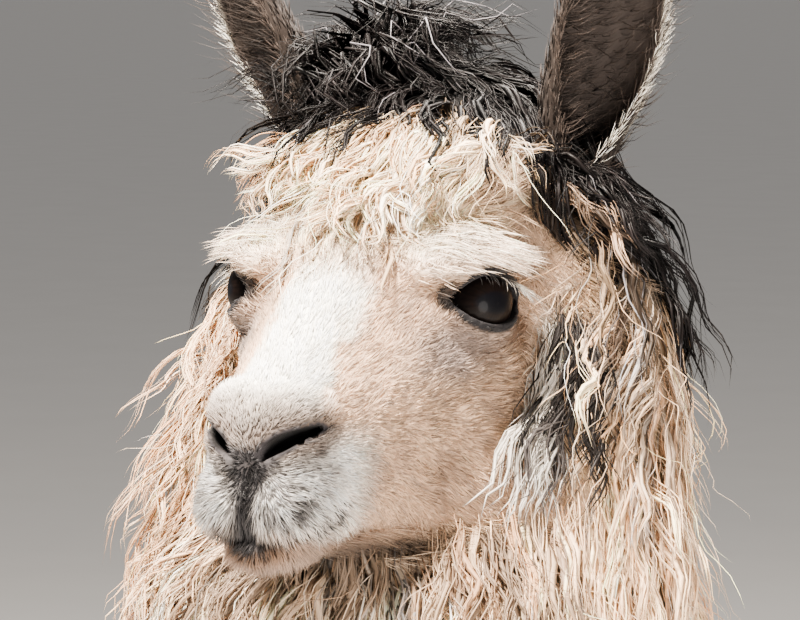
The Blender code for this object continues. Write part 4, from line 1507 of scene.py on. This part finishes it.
def lie_long(
    name, surface, locks, each, density, length, most, way, half, material, *, slot="fleece", rows=9,
    fill=1.0, layers=0.8, low=1.0, longer=1.25, rise=0.5, wander=0.2,
    broad=3, broad_half=0.0, spread=0.008, gather=0.6, wave=0.004, pitch=0.05, stray=0.05,
    colour=None, uneven=0.14, tan=0.0, ash=0.0, warm=0.0, grey=0.0, grey_tone=(0.16, 0.15, 0.16),
    root_dark=0.45, tip_light=1.1, vary=0.16,
):
    """Locks of long wool. Their shape: fill is how much of the coat's depth they take up, layers how few
    of them lie low, low a factor on their height, and longer their least length for that height. Their
    colour: uneven between locks and vary between hairs; tan, ash and grey are shares of them."""
    roots, normals = surface.scatter(locks, density)
    depth = coat_depth(roots, normals, most)
    size = valued(length, roots) * RNG.uniform(0.75, 1.2, locks)
    height = depth * fill * RNG.uniform(0.1, 1.0, locks) ** layers * valued(low, roots)
    size = np.maximum(size, longer * height)
    lines, ups = grow(roots, normals, way, size, height, rows, rise, wander)
    hairs, up, lock = tuft(lines, ups, each, broad, spread, gather, wave, pitch, stray)
    clear = ~over_eye(hairs) & (np.abs(hairs[:, :, 0] - HEAD[0]) < WIDEST).all(1)
    hairs, up, lock = hairs[clear], up[clear], lock[clear]
    tone = np.exp(RNG.normal(0, uneven, (locks, 1)))
    base = np.tile(colour, (locks, 1)) if colour else markings(roots)
    kind = RNG.random((locks, 1))
    base = np.where(kind < tan, base * TAN_SHADE, base)
    base = np.where(kind > 1 - ash, base * 0.25 + ASH_SHADE, base)
    base = np.clip(base * tone, 0, 1)[lock]
    core = (np.tile(np.arange(each), locks) < broad)[clear]
    base = np.clip(base * np.exp(warm * RNG.normal(0, 1, (len(lock), 1)) * WARM_SHIFT), 0, 1)
    greyed = (RNG.random(len(lock)) < grey) & ~core
    base[greyed] += (np.array(grey_tone) - base[greyed]) * 0.8
    width = np.where(core, broad_half or half, half) * RNG.uniform(0.5, 1.5, len(lock))
    # painted shade: root_dark darkens the hairs towards their roots, deep in the coat
    colours = shades(base, rows + 1, root_dark, tip_light, vary)
    flat = np.where(core, BROAD_FLAT, FINE_FLAT)
    hair_piece(name, hairs, up, taper(width, rows + 1), colours, roots[lock], material, slot, flat)


def wool_amount(points):
    return 1 - face_amount(points)


def on_head(points, low, high):
    """1 where the head's up coordinate is between low and high, in millimetres."""
    u = in_head(points)[2]
    return ((u > low) & (u <= high)).astype(float)


def face_length(points):
    s, f, u = in_head(points)
    size = 0.0058 + 0.0035 * step(20, 40, np.abs(s)) * step(30, -20, f)
    size -= 0.0015 * step(60, 95, f) * step(-75, -60, u)
    size += 0.0030 * step(-75, -100, u) * step(50, 80, f)
    size += 0.009 * step(10, 40, u) * step(40, 0, f) + 0.009 * step(-60, -95, u) * step(60, 10, f)
    edge, out = lid_edge(points)
    return size * np.where(out > 0, 0.35 + 0.65 * step(2, 14, edge), 1.0)


def face_density(points):
    """Thickest on the muzzle; bare at the nostrils, the lids and the lips' edges."""
    nostril, mouth = GROOVES[:2]
    dense = face_amount(points) * (1.0 + 0.9 * step(60, 90, in_head(points)[1]))
    dense *= step(0.5, 4.0, off_groove(points, nostril)) * step(0.2, 2.2, off_groove(points, mouth))
    edge, out = lid_edge(points)
    return dense * np.where(out > 0, step(1.5, 4.5, edge), 1.0) * (points[:, 2] > HEAD[2] - 0.16)


def face_lift(points):
    return 0.22 + 0.25 * step(70, 100, in_head(points)[1])


def face_dark(points):
    _, f, u = in_head(points)
    return 0.80 - 0.58 * step(80, 100, f) * step(-60, -72, u)


def under_jaw(points):
    """The jaw's lower edge."""
    _, f, u = in_head(points)
    return step(-102, -108, u) * step(90, 78, f) * step(-30, 0, f) * on_head(points, -122, 0)


def cheek_edge(points):
    """Where the face's hair lengthens into wool."""
    ahead, behind = face_amount(points - 0.024 * BACK), wool_amount(points + 0.018 * BACK)
    return ahead * behind * on_head(points, -98, 44) * (1 - blackness(points))


def on_one_side(centre, radii, soft, side):
    """A density: inside a blot on the left of the head, for side 1, or on its right, for side -1."""
    return lambda p: blot(p, centre, radii, soft) * (side * (p[:, 0] - HEAD[0]) > 0)


def add_face(skin, hair):
    lie_short("cheek_hair", skin, 9000, cheek_edge, 0.019, 0.00030, 0.28, hair, way=cheek_way)
    lie_short("jaw_hair", skin, 3000, under_jaw, 0.018, 0.00028, 0.35, hair, way=jaw_way)
    lie_short("face_fur", skin, 40000, face_density, face_length, 0.00042, face_lift, hair, dark=face_dark)


def add_wool(skin, wool, gloss):
    """The long wool of the head and neck."""
    way = swayed(fleece_way, 0.10, 0.38, 22)

    def ruff(p):
        shared = 1 - 0.9 * on_one_side((80, -47, -44), (26, 12, 42), 0.35, 1)(p)
        thin = np.where(behind_neck(p) > 50, 0.5, 1.0)
        return wool_amount(p) * on_head(p, -175, 50) * thin * (blackness(p) < 0.5) * shared

    def ruff_length(p):
        return 0.072 + 0.030 * step(10, -70, in_head(p)[2]) + 0.010 * ripple(p, 0.08, 21)

    lie_long(
        "wool_ruff", skin, 930, 7, ruff, ruff_length, 0.045, way, 0.00042, wool, broad_half=0.0015,
        spread=0.0085, wave=0.0045, pitch=0.044, grey=0.10, grey_tone=(0.08, 0.064, 0.056), rise=0.6,
        fill=1.05, longer=1.65, stray=0.035, warm=1.0, uneven=0.2, tan=0.2, ash=0.1,
        low=lambda p: (0.30 + 0.70 * step(0, 40, behind_face(p))) * (1.2 - 0.4 * apart(p)[:, 0]),
    )

    def throat(p):
        return wool_amount(p) * on_head(p, -175, -88) * step(-90, -40, in_head(p)[1])

    lie_long(
        "wool_throat", skin, 330, 7, throat, 0.080, 0.04, hanging(-0.05), 0.00045, wool, rows=8,
        spread=0.009, gather=0.55, rise=0.6, fill=1.2, root_dark=0.95, broad_half=0.0016, tan=0.04,
        wander=0.03, stray=0.01,
    )

    def neck(p):
        return on_head(p, -930, -165) * (p[:, 1] < BODY[1] - 0.16) * (p[:, 2] > 0.60)

    lie_long(
        "wool_neck", skin, 760, 5, neck, 0.105, 0.05, way, 0.0011, wool, rows=5, spread=0.014, wave=0.0070,
        pitch=0.070, gather=0.5, grey=0.06, grey_tone=(0.12, 0.095, 0.075), root_dark=0.5,
        broad_half=0.0042, tan=0.2, ash=0.08,
    )

    def forelock(p):
        s, f, u = in_head(p)
        return wool_amount(p) * (u > 40) * (1 - blackness(p)) * (f > -60) * step(54, 42, s)

    def forelock_length(p):
        s, _, u = in_head(p)
        middle = np.exp(-(((s - 8) / 22) ** 2))
        return 0.020 + 0.030 * step(46, 74, u) + 0.024 * middle + 0.024 * step(-36, -60, s)

    lie_long(
        "wool_forelock", skin, 230, 8, forelock, forelock_length, 0.022, swayed(forelock_way, 0.03, 0.6, 31),
        0.00042, wool, spread=0.0055, pitch=0.040, gather=0.75, stray=0.03, fill=1.1, wander=0.4,
        root_dark=0.30, vary=0.2, warm=1.2, broad=2, broad_half=0.0014, tan=0.3,
    )

    def poll(p):
        u = in_head(p)[2]
        dense = 0.4 + 0.5 * step(-10, 10, u) + 1.1 * step(50, 70, u)
        return wool_amount(p) * (u > -180) * step(0.3, 0.7, blackness(p)) * dense

    lie_long(
        "wool_poll", skin, 400, 8, poll, lambda p: 0.036 + 0.056 * step(-42, -68, in_head(p)[1]), 0.022,
        swayed(poll_way, 0.05, 0.28, 32), 0.00040, gloss, pitch=0.044, gather=0.68, grey=0.05, stray=0.015,
        vary=0.35, rise=0.45, fill=1.5, layers=0.5, wander=0.06, broad_half=0.0017,
    )
    lie_long(
        "wool_topknot", skin, 130, 8, on_one_side((42, -80, 82), (28, 26, 26), 0.3, -1), 0.085, 0.06,
        topknot_way, 0.00045, gloss, rows=7, spread=0.009, wave=0.0050, pitch=0.034, gather=0.5, grey=0.06,
        vary=0.35, rise=0.4, broad_half=0.0013,
    )
    for name, place, size, colour, tone, fill, ahead, material in (
        # the white lock's colour is darkened: painted shade over white wool
        ("wool_white_lock", (66, -40, -24), (16, 3, 9), (0.60, 0.545, 0.48), 0.18, 0.7, 0.46, wool),
        ("wool_dark_lock", (74, -47, -22), (18, 2.5, 14), (0.022, 0.019, 0.018), 0.5, 0.75, 0.38, gloss),
    ):
        lie_long(
            name, skin, 12, 9, on_one_side(place, size, 0.4, 1), 0.105, 0.03, lock_way(ahead), 0.00040,
            material, spread=0.006, wave=0.0048, pitch=0.044, gather=0.4, rise=0.4, fill=fill, layers=0.25,
            root_dark=0.8, wander=0.16, colour=colour, uneven=tone, broad=2, broad_half=0.0014,
        )
    lie_long(
        "wool_temple", skin, 60, 8, on_one_side((60, -66, 50), (16, 11, 18), 0.4, 1), 0.064, 0.03,
        temple_way, 0.00040, gloss, spread=0.007, wave=0.0045, pitch=0.036, grey=0.05, stray=0.03,
        vary=0.35, rise=0.35, layers=0.4, wander=0.12, broad_half=0.0015,
    )
    lie_long(
        "wool_stray", skin, 750, 1, lambda p: wool_amount(p) * on_head(p, -150, 95), 0.070, 0.05, way,
        0.00028, wool, broad=0, spread=0.0, pitch=0.045, gather=0.0, stray=0.08, fill=1.25, wander=0.45,
        root_dark=0.9, vary=0.3, warm=1.5, layers=0.4,
    )


def add_brows(skin, hair):
    def brow_length(p):
        s, _, u = in_head(p)
        return (0.009 + 0.019 * step(34, 60, np.abs(s))) * (0.45 + 0.55 * step(8, 20, u))

    lie_long(
        "brow_hair", skin, 420, 4, lambda p: blot(p, (46, 5, 21), (28, 26, 14), 0.8), brow_length, 0.004,
        brow_way, 0.00026, hair, slot="face_hair", rows=4, fill=0.9, broad=0, spread=0.005, wave=0.0006,
        gather=0.2, rise=0.9, root_dark=0.8, wander=0.12,
    )


def add_wisps(skin, hair):
    """Brown hairs between the eyes."""
    lie_long(
        "wisp_hair", skin, 46, 4, lambda p: blot(p, (9, 14, 30), (24, 24, 14), 0.5), 0.017, 0.005,
        lambda p, n, t: short_lie(p, n) * -0.6 + np.array([0.5, 0.0, -0.6]), 0.00022, hair,
        slot="face_hair", rows=4, fill=0.9, broad=0, spread=0.003, wave=0.0012, pitch=0.02, gather=0.4,
        rise=0.9, colour=(0.22, 0.15, 0.105), uneven=0.4,
    )


def add_body(skin, wool, hair):
    def trunk(p):
        behind = p[:, 1] > BODY[1] - 0.27
        tail = (p[:, 1] > BODY[1] + 0.50) & (p[:, 2] > 0.70)
        return behind * ~tail * step(0.56, 0.66, p[:, 2]) * (p[:, 2] < 1.2) * (1 + step(0.99, 1.06, p[:, 2]))

    def upper_leg(p):
        return step(0.36, 0.46, p[:, 2]) * (p[:, 2] < 0.70) * (np.abs(p[:, 0]) > 0.05)

    lie_long(
        "wool_trunk", skin, 1350, 5, trunk, lambda p: 0.095 + 0.015 * ripple(p, 0.2, 41), 0.045,
        swayed(trunk_way, 0.16, 0.3, 42), 0.0016, wool, rows=5, spread=0.018, wave=0.0060, pitch=0.06,
        gather=0.55, fill=0.85, broad_half=0.0060, tan=0.15,
    )
    lie_long(
        "wool_tail", skin, 130, 5, lambda p: (p[:, 1] > BODY[1] + 0.49) * (p[:, 2] > 0.72), 0.10, 0.04,
        tail_way, 0.0030, wool, rows=6, fill=0.9, broad=0, spread=0.012, wave=0.005, gather=0.5,
    )
    lie_long(
        "wool_leg", skin, 330, 4, upper_leg, lambda p: 0.05 + 0.03 * step(0.45, 0.6, p[:, 2]), 0.045,
        hanging(0.12), 0.0036, wool, rows=5, fill=0.9, broad=0, spread=0.010, wave=0.003, gather=0.5,
    )
    lie_short(
        "leg_hair", skin, 9500, lambda p: (p[:, 2] < 0.50) * step(0.006, 0.02, p[:, 2]),
        lambda p: 0.010 + 0.008 * step(0.1, 0.45, p[:, 2]), 0.0009, 0.2, hair, slot="leg_hair",
        way=hanging(0.12),
    )


def add_nails():
    """A curved claw on each toe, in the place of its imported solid."""
    material = nail_material()
    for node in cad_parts:
        if node.startswith("nail_"):
            mesh = nail_mesh(node.replace("nail_", "claw_"), *(np.array(c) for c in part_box(node)))
            dressed(mesh.name, mesh, material, "nail", node)


NAIL_ROWS, NAIL_SPOKES = 14, 20


def nail_mesh(name, low, high):
    """Rings along a claw that narrows, arches and turns down to its tip."""
    middle_x, width = (low[0] + high[0]) / 2, (high[0] - low[0]) / 2
    points = []
    for t in np.arange(NAIL_ROWS) / (NAIL_ROWS - 1):
        half = width * 0.92 * math.sqrt(1 - (t * 0.97) ** 2.6)
        tall = (high[2] - low[2]) / 2 * 0.84 * (1 - t) ** 0.55 + 0.0012
        y = high[1] - 0.002 - t * (high[1] - low[1] - 0.003)
        z = low[2] + 0.0012 + tall + 0.002 * math.sin(math.pi * t)
        ridge = 1 + 0.02 * math.sin(9 * t * math.pi)
        for a in 2 * math.pi * np.arange(NAIL_SPOKES) / NAIL_SPOKES:
            points.append((middle_x + half * math.cos(a) * ridge, y, z + tall * math.sin(a) * ridge))
    last = (NAIL_ROWS - 1) * NAIL_SPOKES
    caps = [tuple(range(NAIL_SPOKES))[::-1], tuple(last + k for k in range(NAIL_SPOKES))]
    return closed_mesh(name, points, ring_faces(NAIL_ROWS, NAIL_SPOKES) + caps)


def ear_root_points(name, side, count, rim):
    """Random places on an ear's wall and the way outwards there. rim: only along its two edges."""
    t = RNG.uniform(0.0, 0.98, count)
    half = ear_section(t)[2]
    if rim:
        angle = half * RNG.choice([-1.0, 1.0], count) * RNG.uniform(0.93, 1.0, count)
    else:
        angle = half * RNG.uniform(-0.97, 0.97, count)
    roots = ear_points(name, side, t, angle, EAR_WALL * 0.5)
    outside = ear_points(name, side, t, angle, -3.0)
    return roots, unit(outside - roots), t, angle / half


EAR_COATS = (  # how many hairs, where they are, length, half width
    (600, "rim", 0.010, 0.00024),
    (1500, "cup", 0.021, 0.00022),
    (1000, "back", 0.012, 0.00040),
)


def add_ear_hair(name, side, hair):
    """A pale fringe on the rims, dark wisps in the cup and short hair over the back."""
    turn = ear_frame(name, side)
    up_ear, front = turn @ UP, -turn @ BACK
    lines, ups, halves, tones, roots = [], [], [], [], []
    for count, place, size, half in EAR_COATS:
        base, outward, t, edge = ear_root_points(name, side, count, place == "rim")
        sway = RNG.normal(0, 0.25, (count, 3))
        if place == "rim":
            out = np.sign(edge)[:, None] * (turn @ ASIDE)
            way = unit(0.35 * out + 0.35 * front + 0.95 * up_ear + sway)
            outer_rim = (np.sign(edge) == side) * step(0.75, 0.45, t)
            tone = mixed(np.tile(EAR_DARK, (count, 1)) * 2.2, LOCK_WHITE, outer_rim)
        elif place == "cup":
            way = unit(-0.45 * outward + 0.6 * up_ear + 0.5 * front + 0.5 * side * turn[:, 0] + sway)
            tone = np.tile(EAR_DARK, (count, 1)) * RNG.uniform(0.6, 2.2, (count, 1))
        else:
            way = unit(0.25 * outward + up_ear + sway * 0.5)
            tone = ear_colours(name, side, base + outward * 0.002)
            base = base + outward * EAR_WALL * 0.0005
        own = size * RNG.uniform(0.6, 1.3, (count, 1)) * (1 - 0.6 * step(0.45, 0.9, t))[:, None]
        half_way = base + way * own * 0.5
        lines.append(np.stack([base, half_way, half_way + unit(way + 0.5 * up_ear) * own * 0.5], 1))
        ups.append(np.repeat(outward[:, None], 3, axis=1))
        halves.append(np.full(count, half))
        tones.append(tone)
        roots.append(base)
    lines, ups, halves, tones, roots = map(np.concatenate, (lines, ups, halves, tones, roots))
    half = taper(halves * RNG.uniform(0.7, 1.3, len(halves)), 3)
    hair_piece("ear_hair_" + name, lines, ups, half, shades(tones, 3, 0.75, 1.1), roots, hair, "ear_hair")


LASHES, LASH_ROWS = 70, 6


def add_lashes(hair):
    """Long lashes on each upper lid, pale towards the outer end."""
    along, gaze, above = eye_axes()
    for name, side in SIDES:
        a = 0.80 - 1.3 * RNG.random(LASHES) ** 1.2
        arch = LID_ABOVE * (1 - a**2) ** 0.7 * (1 - LID_SKEW * a * LID_HALF)
        dome = np.sqrt(np.maximum((1000 * EYE_RADIUS + 2.6) ** 2 - (a * LID_HALF) ** 2 - arch**2, 1))
        off = np.outer(a * LID_HALF + 1, along) + np.outer(arch, above) + np.outer(dome, gaze)
        p = lid_centre() + off / 1000
        size = (0.007 + 0.005 * step(-0.4, 0.6, a)) * RNG.uniform(0.6, 1.3, LASHES)
        lean = (0.30 + 0.45 * a + RNG.normal(0, 0.35, LASHES))[:, None]
        lines = [p]
        for t in np.arange(LASH_ROWS) / LASH_ROWS:
            way = unit(gaze * (0.9 - 0.4 * t) + along * lean + above * (-0.25 - 0.7 * t))
            p = p + way * (size / LASH_ROWS)[:, None]
            lines.append(p)
        flip = np.array([side, 1.0, 1.0])
        lines = (np.stack(lines, 1) - HEAD[0] * ASIDE) * flip + HEAD[0] * ASIDE
        pale = step(0.1, 0.5, a + RNG.normal(0, 0.15, LASHES))
        tones = shades(mixed(np.tile(RIM_BLACK, (LASHES, 1)), LOCK_WHITE, pale), LASH_ROWS + 1, 0.8)
        up = np.tile(above * flip, (LASHES, LASH_ROWS + 1, 1))
        half = taper(np.full(LASHES, 0.00017), LASH_ROWS + 1)
        hair_piece("lashes_" + name, lines, up, half, tones, lines[:, 0], hair, "face_hair")


def add_animal():
    mesh = skin_mesh()
    paint(mesh, skin_colours(vectors(mesh)))
    smooth(mesh)
    surface = Surface(mesh)
    dressed("skin", mesh, hair_material("skin_hair", 0.8, 0.02, shine=0.15), "fleece", *FLESH)
    fur = hair_material("face_hair", 0.6, 0.04, contrast=0.15)
    wool = hair_material("wool", 0.55, 0.04, contrast=0.40, streaks=True, shine=0.3)
    gloss = hair_material("black_wool", 0.40, 0.0, contrast=0.4, streaks=True, shine=0.09)
    dark = hair_material("ear_hair", 0.65, 0.02, contrast=0.15, shine=0.15)
    for name, side in SIDES:
        cup = ear_mesh(name, side)
        paint(cup, ear_colours(name, side, vectors(cup)))
        dressed("earcup_" + name, cup, hair_material("ear_skin", 0.75, 0.02, shine=0.15), "ear_hair")
        add_ear_hair(name, side, dark)
        dressed("eyeball_" + name, eye_mesh(name, side), eye_material(), "eye", "eye_" + name)
    add_face(surface, fur)
    add_brows(surface, fur)
    add_wisps(surface, fur)
    add_lashes(fur)
    add_wool(surface, wool, gloss)
    add_body(surface, wool, fur)
    add_nails()


add_camera()
add_lights()
add_floor()
TREE = outline_tree()
add_animal()
